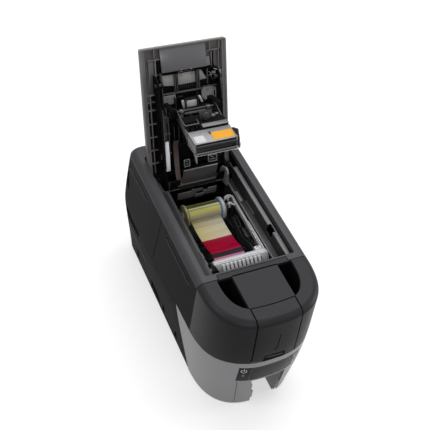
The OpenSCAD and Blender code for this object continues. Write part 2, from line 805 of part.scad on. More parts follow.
module pick_roller() {
    color("#4b4b4b") at_seam() {
        x_rod(-20, 20, pick_y, pick_z, pick_r);
        roller_shaft(-plate_in - plate_t - 2, plate_in + plate_t + 4, pick_y, pick_z);
    }
}

module feed_roller() driven_roller(feed_y, axis_z, roller_r, pulley_r, "#3d3d40");
module transport_roller() driven_roller(transport_y, axis_z, roller_r, pulley_r, "#3d3d40");
module rear_roller() driven_roller(rear_y, axis_z, roller_r, pulley_r, "#3d3d40");
module exit_roller() driven_roller(exit_y, exit_z, roller_r, pulley_r, "#3d3d40");
module platen_roller() driven_roller(platen_y, platen_z, platen_r, pulley_r + axis_z - platen_z, "#202022");

module cleaning_roller() {
    color("#4d8fc4") at_seam() {
        roller_body(cleaning_y, cleaning_z, roller_r);
        roller_shaft(-plate_in - plate_t - 2, plate_in + plate_t + 2, cleaning_y, cleaning_z);
    }
}

module motor_pulley() {
    color("#c9c9cc") at_seam() {
        x_rod(-pulley_x0 - pulley_w, -pulley_x0, motor_y, motor_z, pulley_r);
        roller_shaft(-pulley_x0 - pulley_w, -plate_in + 6, motor_y, motor_z);
    }
}

module belt_loop(grow) {
    hull() for (p = [[exit_y, exit_z], [feed_y, axis_z], [rear_y, axis_z], [motor_y, motor_z]])
        translate(p) circle(r = pulley_r + grow, $fn = 32);
}

module drive_belt() {
    color("#151515") at_seam() translate([-pulley_x0 - pulley_w + 0.5, 0, 0]) rotate([90, 0, 90])
        linear_extrude(pulley_w - 1) difference() {
            belt_loop(belt_gap + belt_t);
            belt_loop(belt_gap);
        }
}

module motor_body(x, y, z, l = motor_l) {
    box([x, y - motor_w / 2, z - motor_w / 2], [x + l, y + motor_w / 2, z + motor_w / 2]);
}

module drive_motors() {
    color("#5b5d60") at_seam() difference() {
        union() {
            motor_body(-plate_in, motor_y, motor_z);
            motor_body(plate_in + plate_t, pick_y, pick_z);
            for (p = drive_axes) motor_body(-left_wall_x - liner_t - spool_motor_l, p[0], p[1], spool_motor_l);
        }
        x_rod(-plate_in - 1, -plate_in + 7, motor_y, motor_z, shaft_r + run_gap);
        x_rod(plate_in + plate_t - 1, plate_in + plate_t + 5, pick_y, pick_z, shaft_r + run_gap);
        for (p = drive_axes) x_rod(-left_wall_x - liner_t - 6, -left_wall_x, p[0], p[1], axle_r + run_gap);
    }
}

// --- gears ---
function gear_pts(n) = [for (i = [0 : n - 1]) for (c = [[-0.3, -1.25], [-0.12, 1], [0.12, 1], [0.3, -1.25]])
    let (a = (i + c[0]) * 360 / n, r = gear_m * (n / 2 + c[1])) [r * cos(a), r * sin(a)]];

module x_gear(x0, x1, y, z, n, phase) {
    translate([x0, y, z]) rotate([90, 0, 90]) linear_extrude(x1 - x0) rotate(phase) polygon(gear_pts(n));
}

module drive_gear(p) {
    x_gear(-gear_x, -gear_x + gear_w, p[0], p[1], drive_teeth, 180 / drive_teeth);
    x_rod(-left_wall_x - liner_t - 5, -gear_x + 1, p[0], p[1], axle_r);
}

module supply_drive_gear() color("#e4e0d4") at_seam() drive_gear(drive_axes[0]);
module takeup_drive_gear() color("#e4e0d4") at_seam() drive_gear(drive_axes[1]);

// --- electronics ---
board = [[-46, 60], [46, tail_l - 34]];
board_z = 12;

module main_board() {
    color("#1f5a32") at_seam() {
        box([board[0][0], board[0][1], board_z], [board[1][0], board[1][1], board_z + 1.6]);
        for (x = [-42, 42], y = [64, tail_l - 56]) z_rod(x, y, floor_z, board_z, 3);
        for (c = [[-30, 90, 24], [12, 150, 18], [-10, 200, 12]])
            box([c[0], c[1], board_z + 1.6], [c[0] + c[2], c[1] + c[2], board_z + 4]);
    }
}

sockets = [[-40, 16, 13], [-14, 12, 11], [14, 10, 11]];
socket_y = tail_l - 50;

module rear_sockets() {
    color("#c4c4c8") at_seam() for (s = sockets) difference() {
        box([s[0], socket_y, board_z + 1.6], [s[0] + s[1], socket_face, board_z + 1.6 + s[2]]);
        box([s[0] + 1.5, socket_y + 8, board_z + 3], [s[0] + s[1] - 1.5, socket_face + 1, board_z + s[2]]);
    }
}

socket_face = tail_l - 27;

module socket_holes() {
    for (s = sockets) box([s[0] - 0.5, socket_y + 12, board_z + 1.1],
        [s[0] + s[1] + 0.5, tail_l, board_z + 2.1 + s[2]]);
}

// --- ribbon cartridge ---
rail_low = cart_shelf_z + 0.3;
rail_h = 14;
rail_left = gear_x + 1;
hub_r = 8;
core_r = 7;

module axle_plate(x0, x1) {
    side_prism(x0, x1, [[takeup_y - hub_r + 1, rail_low + rail_h], [takeup_y - hub_r + 1, takeup_z],
        [takeup_y + hub_r - 1, takeup_z], [takeup_y + 20, rail_low], [supply_y - 16, rail_low],
        [supply_y - hub_r + 1, supply_z - 4], [supply_y + hub_r - 1, supply_z - 4],
        [supply_y + hub_r - 1, rail_low + rail_h]]);
    x_rod(x0, x1, takeup_y, takeup_z, hub_r);
    x_rod(x0, x1, supply_y, supply_z, hub_r);
}

function grip_at(y, z) = [takeup_y + y, grip_top + z];

module cartridge_frame() {
    color("#c8c9cc") at_seam() difference() {
        union() {
            axle_plate(-rail_left - 5, -rail_left);
            axle_plate(rail_out - 9.5, rail_out - 4.5);
            box([rail_out - 6, takeup_y + 6, rail_low + rail_h - 5], [rail_out, supply_y + 6, rail_low + rail_h + 2]);
            side_prism(-grip_left, rail_out, [grip_at(-22, -14), grip_at(-18, -16), grip_at(-4, -16),
                grip_at(-2, -12), grip_at(-2, -2), grip_at(-4, 0), grip_at(-12, 0), grip_at(-21, -9)]);
            box([-rail_left - 5, takeup_y - 12, grip_top - 16], [-grip_left + 1, takeup_y - 2, grip_top - 10]);
            box([rail_out - 12, takeup_y - 2, grip_top - 12], [rail_out - 5, takeup_y + 6, grip_top - 3]);
        }
        for (x0 = [-rail_left - 6, rail_out - 10]) {
            x_rod(x0, x0 + 7, takeup_y, takeup_z, axle_r + run_gap);
            x_rod(x0, x0 + 7, supply_y, supply_z, axle_r + run_gap);
        }
        for (i = [0 : 9]) side_prism(-grip_left + 12 + i * 6.5, -grip_left + 15.4 + i * 6.5,
            [grip_at(-22, -10), grip_at(-11, 1), grip_at(-13, 1), grip_at(-24, -8)]);
    }
}

module spool(y, z, r_core, r_flange) {
    x_rod(-rail_left - 4.8, rail_out - 5, y, z, axle_r);
    x_rod(-gear_x + gear_w - 1, rail_out - 12, y, z, r_core);
    both_sides() x_rod(ribbon_w / 2 + 3, ribbon_w / 2 + 5, y, z, r_flange);
    x_gear(-gear_x, -gear_x + gear_w, y, z, spool_teeth, 0);
}

module supply_spool() {
    color("#d6d7da") at_seam() {
        spool(supply_y, supply_z, core_r, flange_r);
    }
}

module supply_roll() {
    color("#c9c46a") at_seam() difference() {
        x_rod(-ribbon_w / 2, ribbon_w / 2, supply_y, supply_z, supply_r);
        x_rod(-ribbon_w, ribbon_w, supply_y, supply_z, core_r + run_gap);
    }
}

module takeup_spool() {
    color("#c9cacd") at_seam() {
        spool(takeup_y, takeup_z, core_r, takeup_r + 2.5);
        x_rod(-ribbon_w / 2, ribbon_w / 2, takeup_y, takeup_z, takeup_r);
    }
}

film_t = 0.4;

module ribbon_film() {
    low = [supply_y - 1, supply_z - supply_r - 0.3];
    high = [takeup_y + 1, takeup_z + takeup_r + 0.3];
    color("#d7c9a8") at_seam() side_prism(-ribbon_w / 2, ribbon_w / 2,
        [low - [0, film_t], low, high + [0, film_t], high]);
}

// --- cover pieces, drawn closed ---
module lid_shell() {
    color("#6a6a6f") swing_open() {
        difference() {
            box([-cover_half, cover_front, deck_h - cover_skirt], [cover_half, cover_rear, deck_h]);
            box([-cover_half + 2, cover_front + 2, deck_h - cover_skirt - 1],
                [cover_half - 2, cover_rear - 2, deck_h - cover_t]);
        }
        both_sides() {
            box([cover_half - 7.4, cover_front + 1, deck_h - 6.5], [cover_half - 6.2, cover_rear - 1, frame_top + 0.5]);
            for (y = [cover_front + 24 : 22 : hinge_y - 14])
                box([cover_half - 14.4, y, deck_h - 6.5], [cover_half - 1, y + 1.4, frame_top + 0.5]);
        }
    }
}

frame_in = 48.6;
frame_t = 2;
frame_top = deck_h - cover_t;
frame_y = takeup_y - 4;
function by_hinge(y, z) = [hinge_y + y, hinge_z + z];
function by_head(y, z) = [platen_y + y, head_z + z];

module lid_frame() {
    color("#1e1e20") swing_open() difference() {
        union() {
            both_sides() {
                side_prism(frame_in, frame_in + frame_t, [[frame_y, frame_top], [frame_y, grip_top + 5],
                    [head_axis[0] - 8, grip_top + 3], [head_axis[0] - 4, grip_top], [hinge_y - 19, grip_top],
                    [hinge_y - 5, hinge_z - 17.4], [hinge_y + 12, hinge_z - 17.4], [hinge_y + 17, hinge_z - 7.4],
                    [hinge_y + 17, frame_top]]);
                side_prism(arm_x0, arm_x1, [[hinge_y - 9, frame_top], [hinge_y - 7, hinge_z], [hinge_y + 7, hinge_z],
                    [hinge_y + 12, frame_top]]);
                x_rod(arm_x0, arm_x1, hinge_y, hinge_z, 7);
                box([frame_in, hinge_y - 6, hinge_z + 6.6], [arm_x1, hinge_y + 8, frame_top]);
                difference() {
                    box([block_in, head_axis[0] - 7, head_axis[1] - 7], [block_in + 8, head_axis[0] + 7, frame_top]);
                    x_rod(block_in - 1, block_in + 9, head_axis[0], head_axis[1], 2.5 + run_gap);
                }
            }
            box([-frame_in, frame_y, grip_top + 10], [frame_in, frame_y + 2, frame_top]);
            box([-frame_in, head_axis[0] - 16, grip_top + 3], [frame_in, head_axis[0] - 14, frame_top]);
            box([-frame_in, hinge_y - 23, hinge_z - 3.4], [frame_in, hinge_y - 21, frame_top]);
            box([-frame_in, frame_y + 2, frame_top - 2], [frame_in, hinge_y + 13, frame_top]);
            both_sides() box([18, frame_y + 2, grip_top + 14], [19.5, head_axis[0] - 16, frame_top]);
        }
        both_sides() x_rod(frame_in - 1, frame_in + frame_t + 1, latch_at[0], latch_at[1], latch_r + run_gap);
        both_sides() x_rod(arm_x0 - 1, arm_x1 + 1, hinge_y, hinge_z, hinge_pin_r + run_gap);
    }
}

panel_y = opening_front + 6;

module lid_inner_panel() {
    color("#8a8b8f") swing_open() {
        side_prism(-40, 40, [[panel_y, frame_top - 3.5], [frame_y - 4, frame_top - 10.5],
            [frame_y - 4, frame_top - 8.5], [panel_y, frame_top - 1.5]]);
        box([-40, panel_y, frame_top - 3], [40, panel_y + 2, frame_top]);
        box([-40, frame_y - 4, frame_top - 10.5], [40, frame_y - 2, frame_top]);
    }
}

module lid_guard() {
    color("#4c4d50") swing_open() {
        side_prism(-31, 31, [by_hinge(-25, -30.4), by_hinge(-24, -32), by_hinge(13, -17), by_hinge(12, -15.4)]);
        both_sides() side_prism(31, frame_in, [by_hinge(-7, -24.7), by_hinge(-6, -26.4), by_hinge(10, -19.4),
            by_hinge(9, -17.4)]);
    }
}

module hinge_pins() {
    color("#d0d0d4") at_seam() both_sides() x_rod(arm_x0 - 1, right_wall_x + liner_t + 2, hinge_y, hinge_z, hinge_pin_r);
}

module latch_pin(sx) {
    color("#b9bcc2") swing_open() mirror([sx > 0 ? 0 : 1, 0, 0]) {
        x_rod(frame_in - pin_back, frame_in + frame_t + 3, latch_at[0], latch_at[1], latch_r);
        x_rod(frame_in - pin_back, frame_in - pin_back + 1, latch_at[0], latch_at[1], latch_r + 2);
    }
}

module latch_pin_left() latch_pin(-1);
module latch_pin_right() latch_pin(1);

module head_shaft() {
    color("#9fa3a8") swing_open() x_rod(-block_in - 8.5, block_in + 8.5, head_axis[0], head_axis[1], 2.5);
}

module head_carrier() {
    color("#b4b7bb") swing_open() difference() {
        union() {
            side_prism(-head_half + 6, head_half - 6, [by_head(-27, 29.1), by_head(-19, 2.5), by_head(-17, 2.5),
                by_head(-25, 30.1)]);
            side_prism(-head_half + 6, head_half - 6, [by_head(-27, 29.1), by_head(-25, 30.1), by_head(-16, 30.1),
                by_head(-16, 28.1)]);
            both_sides() side_prism(18, head_half - 6, [by_head(-33, 51.1), by_head(-27, 29.1), by_head(-25, 30.1),
                by_head(-31, 52.1)]);
            both_sides() side_prism(head_half - 7.5, head_half - 5, [head_axis + [-6, 4], head_axis + [6, 4],
                by_head(-22, 51.1), by_head(-6, 29.1), by_head(-0.5, 7.1), by_head(-3, 2.5), by_head(-18, 2.5),
                by_head(-27, 41.1), head_axis + [-6, -6]]);
        }
        x_rod(-head_half - 1, head_half + 1, head_axis[0], head_axis[1], 2.5 + run_gap);
    }
}

module printhead() {
    color("#222225") swing_open() {
        side_prism(-28, 28, [by_head(-15.4, 3), by_head(-14, 0), by_head(0, 0), by_head(0, 1), by_head(-3, 12),
            by_head(-13, 16)]);
        for (i = [0 : 5]) box([-26 + i * 9, platen_y - 15, head_z + 14], [-19 + i * 9, platen_y - 9, head_z + 26]);
    }
}

spring_steps = 12;
spring_turns = 4;
spring_wire = 0.6;

// A torsion spring around the head shaft, swept along a helix.
module coil(x0, r, pitch) {
    count = spring_steps * spring_turns;
    ring_n = 5;
    points = [for (i = [0 : count]) for (k = [0 : ring_n - 1])
        let (a = 360 * i / spring_steps, b = 360 * k / ring_n, q = r + spring_wire * cos(b))
        [x0 + pitch * i / spring_steps + spring_wire * sin(b), q * cos(a), q * sin(a)]];
    sides = [for (i = [0 : count - 1]) for (k = [0 : ring_n - 1])
        let (n = (k + 1) % ring_n, a = i * ring_n + k, b = i * ring_n + n, c = a + ring_n, d = b + ring_n)
        [[a, b, d], [a, d, c]]];
    caps = [[for (k = [ring_n - 1 : -1 : 0]) k], [for (k = [0 : ring_n - 1]) count * ring_n + k]];
    translate([0, head_axis[0], head_axis[1]]) polyhedron(points, concat([for (s = sides) for (f = s) f], caps));
}

module head_springs() {
    color("#d8d8dc") swing_open() {
        coil(-26, 3.7, 1.5);
        coil(18, 3.7, 1.5);
    }
}

module head_cable() {
    color("#8a6f5a") swing_open() side_prism(-46, -40, [[platen_y - 16, deck_h - 18], [platen_y - 14, deck_h - 19.5],
        by_hinge(-31, -4.9), by_hinge(-7, -7.4), by_hinge(-6, -5.9), by_hinge(-30, -3.4),
        [platen_y - 12, deck_h - 18]]);
}

base_tray();
top_deck();
left_front_panel();
left_rear_panel();
right_front_panel();
right_rear_panel();
rear_panel();
front_cover();
front_bezel();
output_bracket();
hopper_door();
hopper_door_top();
left_liner();
right_liner();
front_liner();
rear_liner();
rubber_feet();
base_screws();
display_window();
display_board();
power_button();
user_button();
chassis_left();
chassis_right();
card_hopper();
card_weight();
card_guide();
exit_chute();
pick_roller();
feed_roller();
cleaning_roller();
transport_roller();
platen_roller();
rear_roller();
exit_roller();
motor_pulley();
drive_belt();
drive_motors();
supply_drive_gear();
takeup_drive_gear();
main_board();
rear_sockets();
cartridge_frame();
supply_spool();
supply_roll();
takeup_spool();
ribbon_film();
lid_shell();
lid_frame();
lid_inner_panel();
lid_guard();
hinge_pins();
latch_pin_left();
latch_pin_right();
head_carrier();
printhead();
head_shaft();
head_springs();
head_cable();
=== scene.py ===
"""Looks of a desktop card printer that stands with its top cover open.

Every length in the printer's classes is in millimetres from the joint line between the nose and
the deck, as in the part's own drawing: x to the right, y to the rear and z up from the table. The
camera, the lamps and the floor are in metres, in the frame.
"""

import logging
import math
from dataclasses import dataclass
from enum import Enum
from typing import Optional, Sequence, Union

import bmesh
import bpy
from mathutils import Matrix, Vector


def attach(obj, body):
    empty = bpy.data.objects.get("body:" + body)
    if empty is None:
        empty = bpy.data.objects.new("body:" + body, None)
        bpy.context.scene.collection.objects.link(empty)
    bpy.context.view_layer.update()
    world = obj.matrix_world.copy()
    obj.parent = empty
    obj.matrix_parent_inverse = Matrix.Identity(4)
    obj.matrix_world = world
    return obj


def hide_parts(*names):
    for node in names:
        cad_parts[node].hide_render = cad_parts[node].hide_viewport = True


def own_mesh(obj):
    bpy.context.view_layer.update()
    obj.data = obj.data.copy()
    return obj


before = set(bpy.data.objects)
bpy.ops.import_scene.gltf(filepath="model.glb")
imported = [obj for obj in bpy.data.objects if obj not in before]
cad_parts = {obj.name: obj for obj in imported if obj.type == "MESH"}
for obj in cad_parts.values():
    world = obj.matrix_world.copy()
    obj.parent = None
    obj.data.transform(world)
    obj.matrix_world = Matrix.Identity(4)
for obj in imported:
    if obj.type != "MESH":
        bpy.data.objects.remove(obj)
LOG = logging.getLogger("card_printer")
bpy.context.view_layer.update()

Point = Sequence[float]
Colour = tuple[float, float, float]
Pair = tuple[float, float]
Curve = tuple[Pair, ...]
Outline = list[Pair]

MILLI = 0.001

# The joint line between the nose and the deck, in the frame's own y, in millimetres.
SEAM_Y = -109.13141
# The cover's hinge and the print head's cross shaft, as y and z with the cover closed.
HINGE = (219.0, 193.4)
SHAFT = (104.0, 174.0)
OPEN_DEG = 111.8
# Edges of the outer panels that bend by more than this many degrees stay sharp.
PANEL_SMOOTH = 12.0


class Body(str, Enum):
    """The bodies that pieces ride on."""

    BASE = "base"
    LID = "lid"
    HEAD = "head"
    DOOR = "door"
    CARTRIDGE = "cartridge"
    SUPPLY = "supply"
    TAKEUP = "takeup"
    POWER_KEY = "power_key"
    USER_KEY = "user_key"


def placing(body: Body) -> Matrix:
    """Matrix from a class's own millimetres to the frame's metres.

    Args:
        body: The body of a piece. What rides on the cover is drawn closed and swings open with it.

    Returns:
        The 4x4 matrix that places a mesh.
    """
    place = Matrix.Diagonal((MILLI, MILLI, MILLI, 1.0)) @ Matrix.Translation((0.0, SEAM_Y, 0.0))
    if body in (Body.LID, Body.HEAD):
        pivot = Vector((0.0, *HINGE))
        swing = Matrix.Rotation(math.radians(-OPEN_DEG), 4, "X")
        place = place @ Matrix.Translation(pivot) @ swing @ Matrix.Translation(-pivot)
    return place


def link(item: bpy.types.Object) -> bpy.types.Object:
    """Puts an object into the scene."""
    bpy.context.scene.collection.objects.link(item)
    return item


def evaluated(item: bpy.types.Object) -> bpy.types.Mesh:
    """A new mesh of the object with its modifiers applied."""
    graph = bpy.context.evaluated_depsgraph_get()
    return bpy.data.meshes.new_from_object(item.evaluated_get(graph))


def discard(*items: bpy.types.Object) -> None:
    """Removes helper objects and their meshes."""
    for item in items:
        mesh = item.data
        bpy.data.objects.remove(item)
        bpy.data.meshes.remove(mesh)


def tinted(colour: Colour, factor: float, lift: float = 0.0) -> Colour:
    """A lighter or darker colour, no brighter than white."""
    return tuple(min(1.0, c * factor + lift) for c in colour)


class Sock:
    """A shader value whose arithmetic adds Math nodes."""

    def __init__(self, graph: "Wiring", socket: bpy.types.NodeSocket) -> None:
        """Keeps the graph and the output socket that the value comes from."""
        self.graph = graph
        self.socket = socket

    def _math(self, operation: str, first: "Value", second: "Value") -> "Sock":
        """Adds one Math node over two values."""
        return self.graph.node("ShaderNodeMath", {"operation": operation}, {0: first, 1: second})

    def __add__(self, other: "Value") -> "Sock":
        """self + other."""
        return self._math("ADD", self, other)

    def __radd__(self, other: "Value") -> "Sock":
        """other + self."""
        return self._math("ADD", other, self)

    def __sub__(self, other: "Value") -> "Sock":
        """self - other."""
        return self._math("SUBTRACT", self, other)

    def __rsub__(self, other: "Value") -> "Sock":
        """other - self."""
        return self._math("SUBTRACT", other, self)

    def __mul__(self, other: "Value") -> "Sock":
        """self * other."""
        return self._math("MULTIPLY", self, other)

    def __rmul__(self, other: "Value") -> "Sock":
        """other * self."""
        return self._math("MULTIPLY", other, self)

    def __truediv__(self, other: "Value") -> "Sock":
        """self / other."""
        return self._math("DIVIDE", self, other)

    def __gt__(self, other: "Value") -> "Sock":
        """1 where self is greater than other, else 0."""
        return self._math("GREATER_THAN", self, other)

    def __lt__(self, other: "Value") -> "Sock":
        """1 where self is less than other, else 0."""
        return self._math("LESS_THAN", self, other)

    def twin(self, name: str) -> "Sock":
        """Another output of the same node."""
        return Sock(self.graph, self.socket.node.outputs[name])

    def modulo(self, step: float) -> "Sock":
        """Remainder of self over step."""
        return self._math("FLOORED_MODULO", self, step)

    def ramp(self, low: float, high: float) -> "Sock":
        """0 below low, 1 above high, and straight between them."""
        return self.graph.node("ShaderNodeMapRange", {"clamp": True}, {0: self, 1: low, 2: high})


Value = Union[float, Sock]


class Wiring:
    """Adds nodes to one shader tree."""

    def __init__(self, tree: bpy.types.NodeTree) -> None:
        """Keeps the tree."""
        self.tree = tree

    def node(self, kind: str, settings: Optional[dict] = None, values: Optional[dict] = None,
             out: Union[int, str] = 0) -> Sock:
        """Adds one node.

        Args:
            kind: Its type, such as ShaderNodeTexNoise.
            settings: Its own properties, set first.
            values: What its input sockets hold, or the values that feed them.
            out: The output that is wanted.

        Returns:
            That output.
        """
        made = self.tree.nodes.new(kind)
        for key, value in (settings or {}).items():
            setattr(made, key, value)
        for key, value in (values or {}).items():
            if isinstance(value, Sock):
                self.tree.links.new(value.socket, made.inputs[key])
            else:
                made.inputs[key].default_value = value
        return Sock(self, made.outputs[out])

    def plain_view(self) -> Sock:
        """1 for rays from the camera, a mirror-like surface or glass, and 0 for soft light."""
        camera = self.node("ShaderNodeLightPath", out="Is Camera Ray")
        return camera + camera.twin("Is Glossy Ray") + camera.twin("Is Transmission Ray")


class Graph(Wiring):
    """The node tree of one material, with a Principled BSDF at its end."""

    def __init__(self, name: str) -> None:
        """Starts an empty material of that name."""
        self.material = bpy.data.materials.new(name)
        self.material.use_nodes = True
        super().__init__(self.material.node_tree)
        self.shader = next(n for n in self.tree.nodes if n.type == "BSDF_PRINCIPLED")
        self._coords: Optional[Sock] = None

    def coords(self) -> Sock:
        """Object coordinates, in metres."""
        if self._coords is None:
            self._coords = self.node("ShaderNodeTexCoord", out="Object")
        return self._coords

    def axis(self, letter: str) -> Sock:
        """One coordinate, in millimetres from the joint line."""
        split = self.node("ShaderNodeSeparateXYZ", {}, {0: self.coords()}, letter)
        along = split * (1 / MILLI)
        return along - SEAM_Y if letter == "Y" else along

    def turn(self, y: float, z: float) -> Sock:
        """Angle about a crosswise axis, in degrees up from the front."""
        front, up = y - self.axis("Y"), self.axis("Z") - z
        angle = self.node("ShaderNodeMath", {"operation": "ARCTAN2"}, {0: up, 1: front})
        return angle * (180 / math.pi)

    def noise(self, size_mm: float, detail: float = 2.0, stretch: Optional[Point] = None) -> Sock:
        """Noise whose lumps are about size_mm across, from 0 to 1."""
        vector = self.coords()
        if stretch is not None:
            vector = self.node("ShaderNodeVectorMath", {"operation": "MULTIPLY"}, {0: vector, 1: stretch})
        return self.node("ShaderNodeTexNoise", {}, {"Vector": vector, "Scale": 1 / (size_mm * MILLI),
            "Detail": detail})

    def mix(self, factor: Value, first: Union[Colour, Sock], second: Union[Colour, Sock],
            blend: str = "MIX") -> Sock:
        """Mixes two colours."""
        pair = [(*c, 1.0) if isinstance(c, tuple) else c for c in (first, second)]
        return self.node("ShaderNodeMix", {"data_type": "RGBA", "blend_type": blend},
            {0: factor, 6: pair[0], 7: pair[1]}, 2)

    def bump(self, height: Value, strength: float, depth_mm: float) -> None:
        """Lets a height, from 0 to 1, shape the shader's normal."""
        normal = self.node("ShaderNodeBump", {}, {"Strength": strength, "Distance": depth_mm * MILLI,
            "Height": height})
        self.feed("Normal", normal)

    def feed(self, socket: str, value: Union[Value, Colour]) -> None:
        """Sets or links one of the shader's sockets."""
        target = self.shader.inputs[socket]
        if isinstance(value, Sock):
            self.tree.links.new(value.socket, target)
        elif isinstance(value, tuple):
            target.default_value = (*value, 1.0)
        else:
            target.default_value = value


@dataclass(frozen=True)
class Plastic:
    """Moulded plastic with a fine eroded grain and faint mottling."""

    name: str
    colour: Colour
    roughness: float = 0.42
    grain_mm: float = 0.45
    grain: float = 0.18
    mottle: float = 0.10
    metallic: float = 0.0
    specular: float = 0.5

    def material(self) -> bpy.types.Material:
        """Builds the material."""
        graph = Graph(self.name)
        broad = graph.noise(38.0, 3.0)
        fine = graph.noise(self.grain_mm, 3.0)
        dark = tinted(self.colour, 1 - self.mottle)
        light = tinted(self.colour, 1 + self.mottle)
        tint = graph.mix(broad.ramp(0.3, 0.7), dark, light)
        speck = graph.mix(fine.ramp(0.35, 0.65) * 0.5, tint, light)
        graph.feed("Base Color", speck)
        graph.feed("Roughness", self.roughness + (fine - 0.5) * 0.16 + (broad - 0.5) * 0.08)
        graph.feed("Metallic", self.metallic)
        graph.feed("Specular IOR Level", self.specular)
        graph.bump(fine, self.grain, 0.08)
        return graph.material


@dataclass(frozen=True)
class SatinPaint:
    """Silver paint over plastic, with fine metal flake in it."""

    name: str
    colour: Colour
    roughness: float = 0.36
    metallic: float = 0.45

    def material(self) -> bpy.types.Material:
        """Builds the material."""
        graph = Graph(self.name)
        flake = graph.node("ShaderNodeTexVoronoi", {},
            {"Vector": graph.coords(), "Scale": 1 / (0.35 * MILLI)}, "Color")
        spark = graph.node("ShaderNodeSeparateColor", {}, {0: flake}, 0)
        broad = graph.noise(45.0, 2.0)
        dark = tinted(self.colour, 0.9)
        light = tinted(self.colour, 1.12)
        tint = graph.mix(spark, dark, light)
        graph.feed("Base Color", graph.mix(broad.ramp(0.3, 0.7) * 0.3, tint, dark))
        graph.feed("Roughness", self.roughness + (spark - 0.5) * 0.12)
        graph.feed("Metallic", self.metallic)
        graph.bump(graph.noise(0.6, 2.0), 0.08, 0.05)
        return graph.material


@dataclass(frozen=True)
class Gloss:
    """A hard shiny surface with a faint ripple and a few soft smears."""

    name: str
    colour: Colour
    roughness: float = 0.12
    specular: float = 0.5
    coat: float = 0.3

    def material(self) -> bpy.types.Material:
        """Builds the material."""
        graph = Graph(self.name)
        smear = graph.noise(14.0, 4.0)
        lift = tinted(self.colour, 1.35, 0.004)
        graph.feed("Base Color", graph.mix(smear.ramp(0.45, 0.75) * 0.5, self.colour, lift))
        graph.feed("Roughness", self.roughness + smear.ramp(0.4, 0.8) * 0.10)
        graph.feed("Coat Weight", self.coat * (0.8 + smear * 0.5))
        graph.feed("Specular IOR Level", self.specular)
        graph.bump(graph.noise(9.0, 1.0), 0.04, 0.1)
        return graph.material


@dataclass(frozen=True)
class Metal:
    """Rolled or turned metal with fine lines along one direction."""

    name: str
    colour: Colour
    roughness: float = 0.32
    lines: Point = (0.06, 1.0, 1.0)

    def material(self) -> bpy.types.Material:
        """Builds the material."""
        graph = Graph(self.name)
        streak = graph.noise(0.5, 3.0, self.lines)
        broad = graph.noise(18.0, 2.0)
        dark = tinted(self.colour, 0.78)
        graph.feed("Base Color", graph.mix(streak.ramp(0.3, 0.7), dark, self.colour))
        graph.feed("Roughness", self.roughness + (streak - 0.5) * 0.2 + (broad - 0.5) * 0.1)
        graph.feed("Metallic", 1.0)
        graph.bump(streak, 0.12, 0.05)
        return graph.material


@dataclass(frozen=True)
class Board:
    """A green circuit board with copper tracks under the solder mask."""

    name: str
    colour: Colour
    track_mm: float = 2.2

    def material(self) -> bpy.types.Material:
        """Builds the material."""
        graph = Graph(self.name)
        along = graph.axis("X").modulo(self.track_mm)
        turn = graph.noise(16.0, 0.0).ramp(0.49, 0.51)
        across = graph.axis("Y").modulo(self.track_mm)
        track = (along < self.track_mm * 0.3) * turn + (across < self.track_mm * 0.3) * (1 - turn)
        light = tinted(self.colour, 1.9, 0.01)
        graph.feed("Base Color", graph.mix(track, self.colour, light))
        graph.feed("Roughness", 0.34 + graph.noise(0.7) * 0.12)
        graph.bump(track, 0.3, 0.05)
        return graph.material


@dataclass(frozen=True)
class Bands:
    """Thin film whose colour changes along its length, or round a roll of it, with painted shade in its
    creases.
    """

    name: str
    stops: tuple[tuple[float, Colour], ...]
    about: Optional[Pair] = None
    edge: float = 0.3
    roughness: float = 0.25
    ripple: float = 0.10
    ripple_mm: float = 9.0
    sides: tuple[Colour, Colour] = ((1.0, 1.0, 1.0), (1.0, 1.0, 1.0))
    half: float = 26.0
    specular: float = 0.3

    def material(self) -> bpy.types.Material:
        """Builds the material; each stop holds where its colour starts and the colour."""
        graph = Graph(self.name)
        along = graph.turn(*self.about) if self.about else graph.axis("Y")
        colour: Union[Colour, Sock] = self.stops[0][1]
        for start, tint in self.stops[1:]:
            colour = graph.mix((along - start).ramp(-self.edge, self.edge), colour, tint)
        crease = graph.noise(self.ripple_mm, 2.0, (0.15, 1.0, 1.0))
        # Painted shade: the colour darkens to 0.8 where the ripple bump is low, in the creases.
        shade = graph.mix(crease.ramp(0.3, 0.75), (0.8, 0.8, 0.8), (1.0, 1.0, 1.0))
        lean = graph.mix(graph.axis("X").ramp(-self.half, self.half), *self.sides)
        graph.feed("Base Color", graph.mix(1.0, graph.mix(1.0, colour, shade, "MULTIPLY"), lean, "MULTIPLY"))
        graph.feed("Roughness", self.roughness + crease * 0.18)
        graph.feed("Specular IOR Level", self.specular)
        graph.bump(crease, self.ripple, 0.6)
        return graph.material


